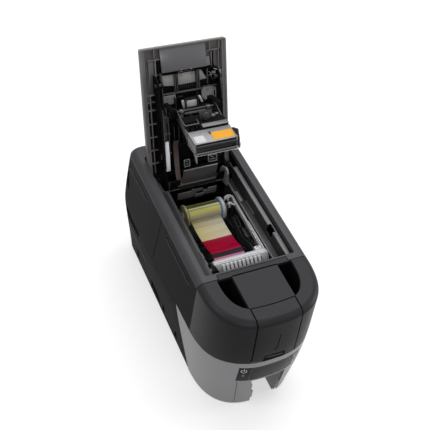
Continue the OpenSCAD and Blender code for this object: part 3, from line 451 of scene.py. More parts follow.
class Look(Enum):
    """Every finish on the printer, by the piece it was made for."""

    DECK = Plastic("deck_finish", (0.035, 0.0338, 0.0378), 0.38, specular=0.12)
    SIDE = Plastic("side_finish", (0.013, 0.0127, 0.014), 0.5, specular=0.012)
    NOSE = Plastic("nose_finish", (0.020, 0.0195, 0.0213), 0.34, grain=0.14, specular=0.06)
    SILVER = SatinPaint("silver_finish", (0.265, 0.262, 0.272), 0.36, 0.2)
    BRACKET = Plastic("bracket_finish", (0.17, 0.17, 0.18), 0.4)
    # Grey plastic; on the right ledge it is a painted highlight.
    LEDGE_AND_HIGHLIGHT = Plastic("ledge_grey_and_highlight", (0.085, 0.083, 0.088), 0.36, specular=0.3)
    LINER = Plastic("liner_finish", (0.013, 0.013, 0.0135), 0.5, specular=0.3)
    # Near-black plastic, also laid as sheets of painted shade in the finger wells, slots, vents, side
    # hollows, the ledge corner and the cover's rib cells.
    INNER_AND_SHADE = Plastic("inner_black_and_painted_shade", (0.0035, 0.0035, 0.0037), 0.55, specular=0.02)
    DISPLAY = Gloss("display_finish", (0.030, 0.026, 0.029), 0.16, 0.06, 0.0)
    KEY = Gloss("key_finish", (0.016, 0.0155, 0.018), 0.2, 0.06, 0.0)
    SYMBOL = Plastic("symbol_finish", (0.62, 0.62, 0.64), 0.5)
    # Grey plastic, also laid as painted highlights on the vent lips, the side ridge and the lattice's edges,
    # and as painted shade in the grip bar's gaps.
    LIP_SHADE_AND_HIGHLIGHT = Plastic("lip_grey_shade_and_highlight", (0.058, 0.057, 0.061), 0.42, specular=0.2)
    RUBBER = Plastic("rubber_finish", (0.012, 0.012, 0.012), 0.75, 0.6, 0.3)
    STEEL = Metal("steel_finish", (0.55, 0.55, 0.57))
    DARK_STEEL = Metal("dark_steel_finish", (0.12, 0.12, 0.125), 0.42)
    PLATE = Metal("plate_finish", (0.42, 0.43, 0.44), 0.4, (1.0, 0.06, 1.0))
    BOARD = Board("board_finish", (0.012, 0.070, 0.032))
    CARTRIDGE = Plastic("cartridge_finish", (0.36, 0.365, 0.375), 0.34, 0.5, 0.08, 0.05)
    RAIL = Plastic("rail_finish", (0.15, 0.153, 0.16), 0.36, 0.5, 0.1, 0.08)
    FLANGE = Plastic("flange_finish", (0.27, 0.275, 0.28), 0.3, 0.5, 0.06, 0.05)
    RING = Plastic("ring_finish", (0.03, 0.13, 0.28), 0.35)
    ROLLER = Plastic("roller_finish", (0.030, 0.030, 0.033), 0.6, 0.4, 0.3)
    CLEANING = Plastic("cleaning_finish", (0.05, 0.20, 0.45), 0.3, 0.6, 0.2)
    GEAR = Plastic("gear_finish", (0.62, 0.60, 0.52), 0.4)
    # Dark grey plastic; on the black frame's edges and ribs it is a painted highlight.
    GUARD_AND_HIGHLIGHT = Plastic("guard_grey_and_highlight", (0.045, 0.045, 0.047), 0.36)
    # The cover's grey plastic; as beads along the bay's edges and the guard plate's edges it is a painted
    # highlight.
    LID = Plastic("lid_grey_and_painted_highlight", (0.128, 0.121, 0.119), 0.36, specular=0.3)
    LID_PANEL = Plastic("lid_panel_finish", (0.075, 0.072, 0.080), 0.3, 0.6, 0.05, 0.05)
    # Pale plastic of the cover's pockets; on the rear steps' edges it is a painted highlight.
    POCKET_AND_HIGHLIGHT = Plastic("pocket_pale_and_highlight", (0.23, 0.22, 0.209), 0.34, 0.5, 0.08)
    HEAD = SatinPaint("head_finish", (0.135, 0.135, 0.14), 0.36, 0.2)
    HEAD_BAR = Plastic("head_bar_finish", (0.006, 0.006, 0.0065), 0.36, specular=0.25)
    MOTOR = SatinPaint("motor_finish", (0.10, 0.10, 0.11), 0.4, 0.5)
    CABLE = Plastic("cable_finish", (0.032, 0.019, 0.016), 0.4, 1.6, 0.15, 0.45)
    WHITE_LABEL = Plastic("white_label_finish", (0.36, 0.36, 0.37), 0.4, 0.5, 0.05, 0.04)
    YELLOW_LABEL = Plastic("yellow_label_finish", (0.52, 0.235, 0.006), 0.42, 0.7, 0.05, 0.10, specular=0.15)
    AMBER = Plastic("amber_finish", (0.20, 0.185, 0.085), 0.3, 0.5, 0.06, 0.2)
    USED = Bands("used_finish", ((0.0, (0.10, 0.03, 0.06)), (60.0, (0.16, 0.08, 0.12))))
    # Round the supply roll, the pale band from 83 degrees is a painted highlight and the dark bands from 89
    # to 116 degrees are a painted reflection; the other bands are the ribbon's own colours.
    RIBBON_AND_SHEEN = Bands("ribbon_and_painted_sheen", ((-180.0, (0.34, 0.31, 0.19)), (45.0, (0.40, 0.37, 0.085)),
        (71.0, (0.20, 0.20, 0.055)), (83.0, (0.50, 0.49, 0.30)), (89.0, (0.10, 0.11, 0.02)),
        (94.0, (0.045, 0.05, 0.008)), (116.0, (0.15, 0.145, 0.06))), (165.0, 160.6), 2.0, 0.34)
    FILM = Bands("film_finish", ((-200.0, (0.44, 0.13, 0.24)), (70.0, (0.012, 0.002, 0.004)),
        (78.7, (0.25, 0.0004, 0.018)), (112.3, (0.46, 0.385, 0.225)), (137.0, (0.36, 0.31, 0.19)),
        (146.0, (0.25, 0.22, 0.13))), None, 0.5, 0.3, 0.10, 9.0, ((1.0, 1.0, 0.82), (0.9, 0.98, 1.3)), 26.0,
        0.06)

    def build(self) -> bpy.types.Material:
        """The finish's material, made the first time that it is asked for."""
        return bpy.data.materials.get(self.value.name) or self.value.material()


def moved(points: Sequence[Point], dy: float, dz: float) -> Outline:
    """Side-view points, shifted."""
    return [(y + dy, z + dz) for y, z in points]


def arc(cy: float, cz: float, radius: float, start: float, end: float, steps: int) -> Outline:
    """Points on an arc, from one angle to another in degrees."""
    angles = [math.radians(start + (end - start) * i / steps) for i in range(steps + 1)]
    return [(cy + radius * math.cos(a), cz + radius * math.sin(a)) for a in angles]


def rounded(lo: Point, hi: Point, radius: float, steps: int = 4) -> Outline:
    """A rectangle with rounded corners, as a plan or side outline."""
    corners = ((hi[0] - radius, lo[1] + radius, -90), (hi[0] - radius, hi[1] - radius, 0),
        (lo[0] + radius, hi[1] - radius, 90), (lo[0] + radius, lo[1] + radius, 180))
    return [p for cx, cy, a in corners for p in arc(cx, cy, radius, a, a + 90, steps)]


def circle(sides: int) -> Outline:
    """Cosine and sine of every corner of a regular polygon."""
    turns = [2 * math.pi * i / sides for i in range(sides)]
    return [(math.cos(turn), math.sin(turn)) for turn in turns]


def bow(half: float, depth: float, roundness: float, steps: int) -> Outline:
    """Points round a blunt nose from left to right, without its two ends."""
    turns = [math.pi * (1 + i / steps) for i in range(1, steps)]
    power = 2 / roundness
    return [(half * math.copysign(abs(math.cos(turn)) ** power, math.cos(turn)),
        -depth * abs(math.sin(turn)) ** power) for turn in turns]


class Form:
    """A mesh under construction, in millimetres."""

    def __init__(self) -> None:
        """Starts empty."""
        self.bm = bmesh.new()

    def loft(self, rings: Sequence[Sequence[Point]]) -> "Form":
        """Adds a closed body through rings of points, with flat ends."""
        made = [[self.bm.verts.new(p) for p in ring] for ring in rings]
        fresh = []
        for low, high in zip(made, made[1:]):
            for i in range(len(low)):
                j = (i + 1) % len(low)
                fresh.append(self.bm.faces.new((low[i], low[j], high[j], high[i])))
        fresh += [self.bm.faces.new(list(reversed(made[0]))), self.bm.faces.new(made[-1])]
        bmesh.ops.recalc_face_normals(self.bm, faces=fresh)
        return self

    def slab(self, outline: Sequence[Point], low: float, high: float, axis: str = "x") -> "Form":
        """Adds an outline pushed along an axis: x takes (y, z), y takes (x, z) and z takes (x, y)."""
        place = "xyz".index(axis)
        return self.loft([[(*p[:place], depth, *p[place:]) for p in outline] for depth in (low, high)])

    def boxes(self, *rows: Point) -> "Form":
        """Adds boxes, each given as its low corner's x, y and z and then its high corner's."""
        for x0, y0, z0, x1, y1, z1 in rows:
            self.slab([(x0, y0), (x1, y0), (x1, y1), (x0, y1)], z0, z1, "z")
        return self

    def turned(self, profile: Sequence[Point], y: float, z: float, sides: int = 48) -> "Form":
        """Adds a body turned about the X axis through (y, z); the profile holds (x, radius)."""
        return self.loft([[(x, y + r * c, z + r * s) for c, s in circle(sides)] for x, r in profile])

    def post(self, x: float, y: float, profile: Sequence[Point], sides: int = 32) -> "Form":
        """Adds a body turned about the vertical through (x, y); the profile holds (z, radius)."""
        return self.loft([[(x + r * c, y + r * s, z) for c, s in circle(sides)] for z, r in profile])

    def tube(self, path: Sequence[Point], radius: float, sides: int = 10) -> "Form":
        """Adds a round wire along a path."""
        spine = [Vector(p) for p in path]
        rings = []
        side = Vector((0, 0, 1)).cross(spine[1] - spine[0])
        side = side.normalized() if side.length > 0.01 else Vector((1, 0, 0))
        for i, here in enumerate(spine):
            along = (spine[min(i + 1, len(spine) - 1)] - spine[max(i - 1, 0)]).normalized()
            side = (side - along * side.dot(along)).normalized()
            other = along.cross(side)
            rings.append([tuple(here + (side * c + other * s) * radius) for c, s in circle(sides)])
        return self.loft(rings)

    def both(self) -> "Form":
        """Adds a mirror image of everything so far, across the middle plane."""
        copy = bmesh.ops.duplicate(self.bm, geom=self.bm.verts[:] + self.bm.edges[:] + self.bm.faces[:])
        verts = [e for e in copy["geom"] if isinstance(e, bmesh.types.BMVert)]
        faces = [e for e in copy["geom"] if isinstance(e, bmesh.types.BMFace)]
        for vert in verts:
            vert.co.x = -vert.co.x
        bmesh.ops.reverse_faces(self.bm, faces=faces)
        return self

    def mesh(self, name: str = "form") -> bpy.types.Mesh:
        """A plain mesh of the form, still in millimetres."""
        made = bpy.data.meshes.new(name)
        self.bm.to_mesh(made)
        return made

    def _combine(self, operation: str, other: "Form") -> "Form":
        """Runs one boolean operation against another form."""
        first = link(bpy.data.objects.new("boolean_body", self.mesh()))
        second = link(bpy.data.objects.new("boolean_tool", other.mesh()))
        step = first.modifiers.new("boolean", "BOOLEAN")
        step.operation, step.object, step.solver = operation, second, "MANIFOLD"
        result = evaluated(first)
        self.bm.clear()
        self.bm.from_mesh(result)
        discard(first, second)
        bpy.data.meshes.remove(result)
        return self

    def cut(self, *tools: "Form") -> "Form":
        """Takes other forms away."""
        for tool in tools:
            self._combine("DIFFERENCE", tool)
        return self

    def keep(self, tool: "Form") -> "Form":
        """Keeps only what lies inside another form."""
        return self._combine("INTERSECT", tool)

    def join(self, *others: "Form") -> "Form":
        """Joins other forms into one closed skin."""
        for other in others:
            self._combine("UNION", other)
        return self

    def add(self, *others: "Form") -> "Form":
        """Lays other forms beside this one, as solids of their own."""
        for other in others:
            self.bm.from_mesh(other.mesh())
        return self

    def piece(self, name: str, finish: Look, body: Body, slot: str, bevel: float = 0.35,
              node: str = "", smooth: float = 32.0) -> bpy.types.Object:
        """Turns the form into a piece of the printer.

        Args:
            name: The piece's name.
            finish: Its finish.
            body: The body that it rides on.
            slot: The record's material slot; not used.
            bevel: Width of its broken edges, 0 for none.
            node: The part's node that it stands for, if any.
            smooth: Edges flatter than this many degrees are shaded smooth.

        Returns:
            The finished object, at the origin with its place in its mesh.
        """
        bmesh.ops.remove_doubles(self.bm, verts=self.bm.verts, dist=0.001)
        bmesh.ops.transform(self.bm, matrix=placing(body), verts=self.bm.verts)
        made = link(bpy.data.objects.new(name, self.mesh(name)))
        self.bm.free()
        if bevel > 0:
            soften(made, bevel)
        made.data.shade_smooth()
        made.data.set_sharp_from_angle(angle=math.radians(smooth))
        made.data.materials.clear()
        made.data.materials.append(finish.build())
        if node:
            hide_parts(node)
        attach(made, body.value)
        LOG.info("%s: %d faces", name, len(made.data.polygons))
        return made


def boxes(*rows: Point) -> Form:
    """Boxes, each given as its low corner's x, y and z and then its high corner's."""
    return Form().boxes(*rows)


def box(*ends: float) -> Form:
    """One box, from its low corner's x, y and z to its high corner's."""
    return boxes(ends)


def slab(outline: Sequence[Point], low: float, high: float, axis: str = "x") -> Form:
    """An outline pushed along an axis, as a new form."""
    return Form().slab(outline, low, high, axis)


def turned(profile: Sequence[Point], y: float, z: float, sides: int = 48) -> Form:
    """A body turned about a crosswise axis, as a new form."""
    return Form().turned(profile, y, z, sides)


def soften(made: bpy.types.Object, width_mm: float) -> None:
    """Breaks a piece's sharp edges and keeps the result as its mesh."""
    step = made.modifiers.new("edges", "BEVEL")
    step.width = width_mm * MILLI
    step.segments = 2
    step.limit_method = "ANGLE"
    step.angle_limit = math.radians(38)
    step.miter_outer = "MITER_ARC"
    old, result = made.data, evaluated(made)
    made.modifiers.clear()
    made.data = result
    bpy.data.meshes.remove(old)


class Copies:
    """One small form, set out in a row by Geometry Nodes."""

    TREE = "copies_in_a_row"

    def __init__(self, item: Form, finish: Look) -> None:
        """Keeps the form to copy and the finish of the copies."""
        self.item = item
        self.finish = finish

    @classmethod
    def _tree(cls) -> bpy.types.NodeTree:
        """The node tree, made once: copies at equal steps, realized and given a material."""
        ready = bpy.data.node_groups.get(cls.TREE)
        if ready:
            return ready
        tree = bpy.data.node_groups.new(cls.TREE, "GeometryNodeTree")
        wanted = (("Item", "Object"), ("Start", "Vector"), ("Step", "Vector"), ("Count", "Int"),
            ("Material", "Material"))
        for name, kind in wanted:
            tree.interface.new_socket(name, in_out="INPUT", socket_type="NodeSocket" + kind)
        tree.interface.new_socket("Mesh", in_out="OUTPUT", socket_type="NodeSocketGeometry")
        add = tree.nodes.new
        given, result, line = add("NodeGroupInput"), add("NodeGroupOutput"), add("GeometryNodeMeshLine")
        info, place = add("GeometryNodeObjectInfo"), add("GeometryNodeInstanceOnPoints")
        real, paint = add("GeometryNodeRealizeInstances"), add("GeometryNodeSetMaterial")
        line.mode = "OFFSET"
        pairs = ((given, "Count", line, "Count"), (given, "Start", line, "Start Location"),
            (given, "Step", line, "Offset"), (line, "Mesh", place, "Points"),
            (given, "Item", info, "Object"), (info, "Geometry", place, "Instance"),
            (place, "Instances", real, "Geometry"), (real, "Geometry", paint, "Geometry"),
            (given, "Material", paint, "Material"), (paint, "Geometry", result, "Mesh"))
        for source, out, target, into in pairs:
            tree.links.new(source.outputs[out], target.inputs[into])
        return tree

    def laid(self, start: Point, step: Point, count: int) -> Form:
        """Lays the copies out.

        Args:
            start: Where the first copy's own origin goes.
            step: From one copy to the next.
            count: Number of copies.

        Returns:
            One form that holds every copy.
        """
        source = link(bpy.data.objects.new("copied_item", self.item.mesh()))
        holder = link(bpy.data.objects.new("copies_holder", bpy.data.meshes.new("holder")))
        given = {"Item": source, "Start": start, "Step": step, "Count": count,
            "Material": self.finish.build()}
        modifier = holder.modifiers.new("copies", "NODES")
        modifier.node_group = self._tree()
        for socket in modifier.node_group.interface.items_tree:
            if socket.in_out == "INPUT":
                modifier[socket.identifier] = given[socket.name]
        result = evaluated(holder)
        form = Form()
        form.bm.from_mesh(result)
        holder.modifiers.clear()
        discard(source, holder)
        bpy.data.meshes.remove(result)
        return form


@dataclass(frozen=True)
class Lamp:
    """One soft lamp, in metres and watts; wide is its width over its height."""

    name: str
    place: Point
    target: Point
    size: float
    power: float
    wide: float = 1.0

    def build(self) -> None:
        """Adds the lamp to the scene."""
        light = bpy.data.lights.new(self.name, "AREA")
        light.shape = "RECTANGLE"
        light.size = self.size * self.wide
        light.size_y = self.size
        light.energy = self.power
        made = link(bpy.data.objects.new(self.name, light))
        made.location = self.place
        made.rotation_euler = (Vector(self.target) - Vector(self.place)).to_track_quat("-Z", "Y").to_euler()


@dataclass(frozen=True)
class Studio:
    """Camera, lights and the white floor, in metres and degrees."""

    eye: Point = (-0.4263, -0.67113, 1.0715)
    azimuth: float = 31.76
    elevation: float = 47.29
    roll: float = 10.81
    lens_mm: float = 65.308
    sensor_mm: float = 36.0
    sky: float = 0.22
    floor_size: float = 12.0
    floor_dim: float = 0.10
    floor_lit: float = 0.42
    floor_glow: float = 0.545
    image: tuple[int, int] = (433, 430)
    lamps: tuple[Lamp, ...] = (Lamp("top_lamp", (0.45, 0.75, 2.1), (0, 0.1, 0.15), 2.0, 58),
        Lamp("left_lamp", (-1.5, 0.1, 1.9), (0, 0, 0.15), 0.7, 14), Lamp("front_lamp", (-0.7, -2.0, 1.7),
        (0, 0, 0.15), 0.5, 16, 2.4), Lamp("right_lamp", (1.9, -0.5, 0.55), (0, -0.1, 0.1), 0.7, 16),)

    def camera(self) -> None:
        """Adds the camera, before anything else."""
        lens = bpy.data.cameras.new("camera")
        lens.lens = self.lens_mm
        lens.sensor_width = self.sensor_mm
        lens.sensor_fit = "HORIZONTAL"
        eye = link(bpy.data.objects.new("camera", lens))
        az, el, roll = (math.radians(a) for a in (self.azimuth, self.elevation, self.roll))
        ahead = Vector((math.sin(az) * math.cos(el), math.cos(az) * math.cos(el), -math.sin(el)))
        right = ahead.cross(Vector((0, 0, 1))).normalized()
        up = right.cross(ahead)
        tilted = right * math.cos(roll) + up * math.sin(roll)
        above = up * math.cos(roll) - right * math.sin(roll)
        turn = Matrix((tilted, above, -ahead)).transposed().to_4x4()
        eye.matrix_world = Matrix.Translation(Vector(self.eye)) @ turn
        scene = bpy.context.scene
        scene.camera = eye
        scene.render.resolution_x, scene.render.resolution_y = self.image
        scene.view_settings.view_transform = "Standard"
        scene.view_settings.look = "None"

    def lights(self) -> None:
        """Adds a dim white sky, and lamps above and at the left, the front and the right."""
        world = bpy.data.worlds.new("sky")
        bpy.context.scene.world = world
        world.use_nodes = True
        wiring = Wiring(world.node_tree)
        end = next(n for n in world.node_tree.nodes if n.type == "OUTPUT_WORLD")
        soft, white = (wiring.node("ShaderNodeBackground", {},
            {"Color": (1, 1, 1, 1), "Strength": level}) for level in (self.sky, 1.0))
        both = wiring.node("ShaderNodeMixShader", {}, {0: wiring.plain_view(), 1: soft, 2: white})
        world.node_tree.links.new(both.socket, end.inputs["Surface"])
        for lamp in self.lamps:
            lamp.build()

    def floor(self) -> None:
        """Adds the white floor."""
        half = self.floor_size / 2
        made = bpy.data.meshes.new("floor")
        made.from_pydata([(-half, -half, 0), (half, -half, 0), (half, half, 0), (-half, half, 0)], [],
            [(0, 1, 2, 3)])
        ground = link(bpy.data.objects.new("floor", made))
        graph = Graph("floor_white")
        seen = graph.plain_view()
        dim = (self.floor_dim,) * 3
        graph.feed("Base Color", graph.mix(seen, dim, (self.floor_lit,) * 3))
        graph.feed("Emission Color", graph.mix(seen, (0.0, 0.0, 0.0), (self.floor_glow,) * 3))
        graph.feed("Emission Strength", 1.0)
        graph.feed("Roughness", 0.9)
        graph.feed("Specular IOR Level", 0.1)
        made.materials.append(graph.material)


def between(levels: Sequence[Pair], z: float) -> float:
    """A smooth curve through (height, offset) pairs, straight beyond their ends."""
    if z <= levels[0][0]:
        return levels[0][1]
    for i in range(len(levels) - 1):
        (z0, v0), (z1, v1) = levels[i], levels[i + 1]
        if z > z1:
            continue
        slope = (v1 - v0) / (z1 - z0)
        before = (v0 - levels[i - 1][1]) / (z0 - levels[i - 1][0]) if i > 0 else slope
        after = (levels[i + 2][1] - v1) / (levels[i + 2][0] - z1) if i + 2 < len(levels) else slope
        t = (z - z0) / (z1 - z0)
        m0, m1 = ((s + slope) / 2 if s * slope > 0 else 0.0 for s in (before, after))
        return ((2 * t**3 - 3 * t**2 + 1) * v0 + (t**3 - 2 * t**2 + t) * m0 * (z1 - z0)
            + (3 * t**2 - 2 * t**3) * v1 + (t**3 - t**2) * m1 * (z1 - z0))
    return levels[-1][1]


@dataclass(frozen=True)
class Casing:
    """The printer's outer skin, and the panels that it is split into."""

    half: float = 87.5
    nose: float = 96.7
    tail: float = 296.0
    deck: float = 214.0
    wall: float = 2.5
    side_top: float = 204.5
    mid: float = 104.0
    corner: float = 15.0
    roundness: float = 2.6
    rim_x: float = 14.4
    rim_end: float = 70.0
    nose_steps: int = 96
    seam: float = 0.5
    rear_split: float = 276.0
    well_in: float = 35.5
    well_half: float = 59.0
    well_depth: float = 64.0
    well_floor: float = 135.0
    well_round: float = 3.0
    door_pin: Pair = (-87.8, 141.0)
    door_foot: float = 130.0
    slot_z: Pair = (126.0, 140.5)
    band: tuple[float, float, float, float] = (-48.0, 50.0, 78.0, 115.0)
    key_w: float = 15.0
    hollow: float = 2.0
    grip_hole: Curve = ((268, 135), (279, 139), (283, 160), (281, 173), (270, 170))
    hold: Curve = ((215, 70), (262, 70), (276, 80), (284, 97), (215, 97))
    notch: tuple[float, float, float] = (-24.0, 28.0, 75.0)
    lean: Curve = ((2, -7.2), (76, -1.3), (104, 0), (125, 0), (204.5, -6.2))
    rear: Curve = ((2, -29), (38, -21), (76, -8), (104, 0), (162, -5), (204.5, -11.3))
    sides: Curve = ((2, -7), (104, 0), (204.5, 0))

    def _ring(self, z: float, draw: float, inset: float = 0.0, rear_inset: float = 0.0) -> list[Point]:
        """One level of the skin, drawn in by a wall and by the rim's inset."""
        low = min(z, self.side_top)
        half = self.half + between(self.sides, low) - draw - inset
        nose = self.nose + between(self.lean, low) - draw - inset
        tail = self.tail + between(self.rear, low) - draw - rear_inset
        bend = self.corner - draw
        plan = [(half, 0.0)]
        plan += arc(half - bend, tail - bend, bend, 0, 90, 8)
        plan += arc(bend - half, tail - bend, bend, 90, 180, 8)
        plan.append((-half, 0.0))
        plan += bow(half, nose, self.roundness, self.nose_steps)
        return [(x, y, z) for x, y in plan]

    def solid(self, draw: float = 0.0, low: float = 2.0) -> Form:
        """The whole casing as one body, drawn in by a wall on every face."""
        count = 26
        heights = [low + (self.side_top - low) * i / count for i in range(count + 1)]
        rings = [self._ring(z, draw) for z in heights]
        for i in range(1, 13):
            turn = math.radians(self.rim_end * i / 12)
            inset = (self.rim_x - draw) * (1 - math.cos(turn))
            lift = (self.deck - self.side_top - draw) * math.sin(turn) / math.sin(math.radians(self.rim_end))
            rings.append(self._ring(self.side_top + lift, draw, inset, inset * 0.4))
        return Form().loft(rings)

    def skin(self, wall: Optional[float] = None) -> Form:
        """The casing as an open-bottomed shell."""
        return self.solid().cut(self.solid(wall or self.wall, 1.0))

    def shell(self, outer: float, inner: float, low: float) -> Form:
        """The layer between two depths in the casing's wall, from a height up."""
        return self.solid(outer, low).cut(self.solid(inner, low - 1))

    def front(self, outline: Outline, depth: float = -50) -> Form:
        """An outline of the front view, pushed from before the nose back to a depth."""
        return slab(outline, -self.nose - 6, depth, "y")

    def mark(self, outline: Outline, rise: float = 0.15) -> Form:
        """A thin raised mark on the front of the nose, from its outline in the front view."""
        skin = self.shell(-rise, 0.4, 40)
        return skin.keep(self.front(outline))

    def band_line(self) -> Outline:
        """Boundary between the silver skirt and the black nose, in the side view, from the rear forward."""
        stops = [(52, -3), (16, -1), (-3, 0), (-20, 3), (-45, 8), (-63, 13.5), (-80, 19.5), (-90, 22.5),
            (-146.7, 23)]
        return [(y, self.mid + z) for y, z in stops]

    def skirt_region(self) -> Form:
        """Everything below the silver boundary and in front of the base tray."""
        line = self.band_line()
        outline = [(-150, -1), (-8.5, -1), (line[0][0] - 0.5, line[0][1] - 0.25)]
        outline += moved(line[1:], 0, -self.seam / 2)
        return slab(outline, -self.half - 2, self.half + 2)

    def nose_region(self) -> Form:
        """The black nose above the silver boundary, with its tongue into the deck."""
        line = moved(self.band_line(), 0, self.seam / 2)
        below = slab([(10, 0), (10, self.mid + 0.25), *line, (-150, 0)], -self.half - 3, self.half + 3)
        region = box(-self.half - 1, -self.nose - 5, 4, self.half + 1, -self.seam, self.deck + 1)
        region.join(box(-54.5, -1, self.side_top - 3, 54.5, 7.0, self.deck + 1))
        return region.cut(below)

    def well_plan(self, grow: float) -> Form:
        """Both finger wells, as one pair of upright solids."""
        half, depth = self.well_half + grow, self.well_depth + grow
        outline = [(half, 20.0), (-half, 20.0), (-half, 0.0), *bow(half, depth, self.well_round, 48),
            (half, 0.0)]
        well = slab(list(reversed(outline)), 60, 260, "z")
        side = box(self.well_in - grow, -self.well_depth - 10, 50, self.well_half + 5, -1 + grow, 270)
        return well.keep(side.both())

    def _wave(self) -> Outline:
        """The wavy line between the two side panels, from the base split up."""
        base = self.mid
        turns = [(130, base - 15), (131, base - 11), (140, base - 7), (148, base - 3)]
        rise = [(147, base + 12), (144.5, base + 28), (142, base + 45), (138.5, base + 70), (135, base + 94)]
        return turns + rise + [(135, self.side_top)]

    def _side_skin(self) -> Form:
        """The skin from the nose's joint line back to the rear split, below the deck."""
        return self.skin().keep(box(-self.half - 1, 0, 4, self.half + 1, self.rear_split,
            self.side_top - 0.25))

    def _slit(self, y0: float, y1: float, z: float, side: int) -> Form:
        """A long rounded vent slot through one side."""
        outline = rounded((y0, z - 3.0), (y1, z + 2.2), 1.6)
        return slab(outline, *sorted((side * (self.half - 4), side * (self.half + 2))))

    def side_panels(self) -> None:
        """Adds the two panels of each side, split by the wavy seam, and in their vents a pale lip of painted
        highlight and a near-black back of painted shade.
        """
        wave, top, end = self._wave(), self.side_top + 5, self.rear_split - 0.25
        front = [(0.25, top), (0.25, self.mid + 0.25), (16, self.mid - 0.75), (52, self.mid - 2.75)]
        front += moved(wave, -0.5, 0.5) + [(134.5, top)]
        rear = moved(wave, 0.5, 0.5) + [(135.5, top), (end, top), (end, self.mid - 14.75)]
        vents = {"front": (22, 112, self.deck - 26), "rear": (191, 270, self.deck - 28)}
        # In each vent a pale strip on the lower edge is a painted highlight, and a near-black strip behind
        # the opening is painted shade.
        vent_shade_and_highlight = (("lip", Look.LIP_SHADE_AND_HIGHLIGHT, -3.0, -1.9, 0.5, 0.02), ("back", Look.INNER_AND_SHADE, -3.5, 2.8, 2.0, 1.1))
        for name, side in (("left", -1), ("right", 1)):
            span = sorted((0.0, side * (self.half + 1)))
            for part, outline in (("front", front), ("rear", rear)):
                panel = self._side_skin().keep(slab(outline, *span))
                panel.cut(self._slit(*vents[part], side))
                if part == "rear":
                    panel.cut(self._recess(self.grip_hole))
                panel.piece(f"{name}_side_{part}", Look.SIDE, Body.BASE, "side_black", 0.3,
                    f"{name}_{part}_panel", smooth=PANEL_SMOOTH)
            for part, (y0, y1, z) in vents.items():
                for kind, look, low, high, inner, outer in vent_shade_and_highlight:
                    span = sorted((side * (self.half - inner), side * (self.half - outer)))
                    strip = slab([(y0, z + low), (y1, z + low), (y1, z + high), (y0, z + high)], *span)
                    strip.piece(f"{name}_vent_{kind}_{part}", look, Body.BASE, "side_black", 0.1)

    def _recess(self, outline: Outline) -> Form:
        """The shallow hollow of an outline in both sides."""
        return slab(outline, self.half - 20, self.half + 3).both().cut(self.solid(self.hollow + 0.3, 3))

    def _recess_painted_shade(self, outlines: Sequence[Outline]) -> None:
        """Near-black sheets on the bottoms of the hollows in both sides: painted shade in the hollows."""
        region = Form()
        for outline in outlines:
            region.add(slab(outline, self.half - 19, self.half + 1).both())
        floors = self.shell(self.hollow, self.hollow + 0.25, 5).keep(region)
        floors.piece("side_recess_floors", Look.INNER_AND_SHADE, Body.BASE, "side_black", 0.0)

    def base_tray(self) -> None:
        """Adds the tray under the side seam, with its recesses and cut-outs, painted shade in the recesses
        and a painted highlight on a ridge along each side.
        """
        split = [(296 + 10, self.mid - 15.25), (130, self.mid - 15.25), (52, self.mid - 3.25)]
        below = slab([(-8, -1), (306, -1), *split], -self.half - 1, self.half + 1)
        tray = self.solid(0.0, 4.0).keep(below)
        tray.cut(self.solid(self.wall, 7.0), box(-self.half, self.rear_split - 0.25, self.mid - 28,
            self.half, 300, self.deck))
        for x, width, height in ((-40, 16, 13), (-14, 12, 11), (14, 10, 11)):
            tray.cut(box(x - 0.5, 258, 13.1, x + width + 0.5, 300, 14.1 + height))
        hollows = [self.hold]
        for y0, y1 in ((42, 52), (95, 105), (113, 157), (216, 225)):
            hollows.insert(0, [(y0, 12), (y1, 12), (y1 - 1, 29), (y0 + (y1 - y0) / 3, 29)])
        for outline in hollows:
            tray.cut(self._recess(outline))
        self._recess_painted_shade(hollows + [self.grip_hole])
        tray.piece("base_shell", Look.SIDE, Body.BASE, "side_black", 0.4, "base_tray", smooth=PANEL_SMOOTH)
        # A raised ridge along each side; its lighter grey is a painted highlight.
        ledge = [(177, 50), (263, 57), (263, 58.5), (177, 51.5)]
        ribs = self.solid(-0.7, 30).keep(slab(ledge, self.half - 8, self.half + 2).both())
        ribs.cut(self.solid(0.4, 20))
        ribs.piece("base_light_line", Look.LIP_SHADE_AND_HIGHLIGHT, Body.BASE, "side_black", 0.2)

    def rear_panel(self) -> None:
        """Adds the rear panel with its row of vents."""
        panel = self.skin()
        panel.keep(box(-self.half - 1, self.rear_split + 0.25, self.mid - 27.5, self.half + 1, 300,
            self.side_top - 0.25))
        for i in range(-4, 5):
            panel.cut(slab(rounded((i * 14 - 2, self.mid + 16), (i * 14 + 2, self.mid + 61), 1.9),
                self.rear_split, 300, "y"))
        panel.cut(self._recess(self.grip_hole))
        panel.piece("rear_cover", Look.SIDE, Body.BASE, "side_black", 0.3, "rear_panel", smooth=PANEL_SMOOTH)

    def top_deck(self) -> None:
        """Adds the deck round the cover opening, with its rounded rim."""
        deck = self.skin()
        deck.keep(box(-self.half - 1, self.seam, self.side_top + 0.25, self.half + 1, 300, self.deck + 1))
        deck.join(slab(rounded((-72.5, 9), (72.5, 258), 4), self.side_top + 0.5, self.deck - 0.6, "z"))
        deck.cut(slab(rounded((-70.5, 11), (70.5, 256), 2.5), self.side_top - 9, self.deck + 1, "z"),
            slab(rounded((-55.5, -5), (55.5, 8.0), 1.5), self.side_top - 5, self.deck + 1, "z"))
        deck.piece("deck_top", Look.DECK, Body.BASE, "deck_black", 0.35, "top_deck", smooth=PANEL_SMOOTH)

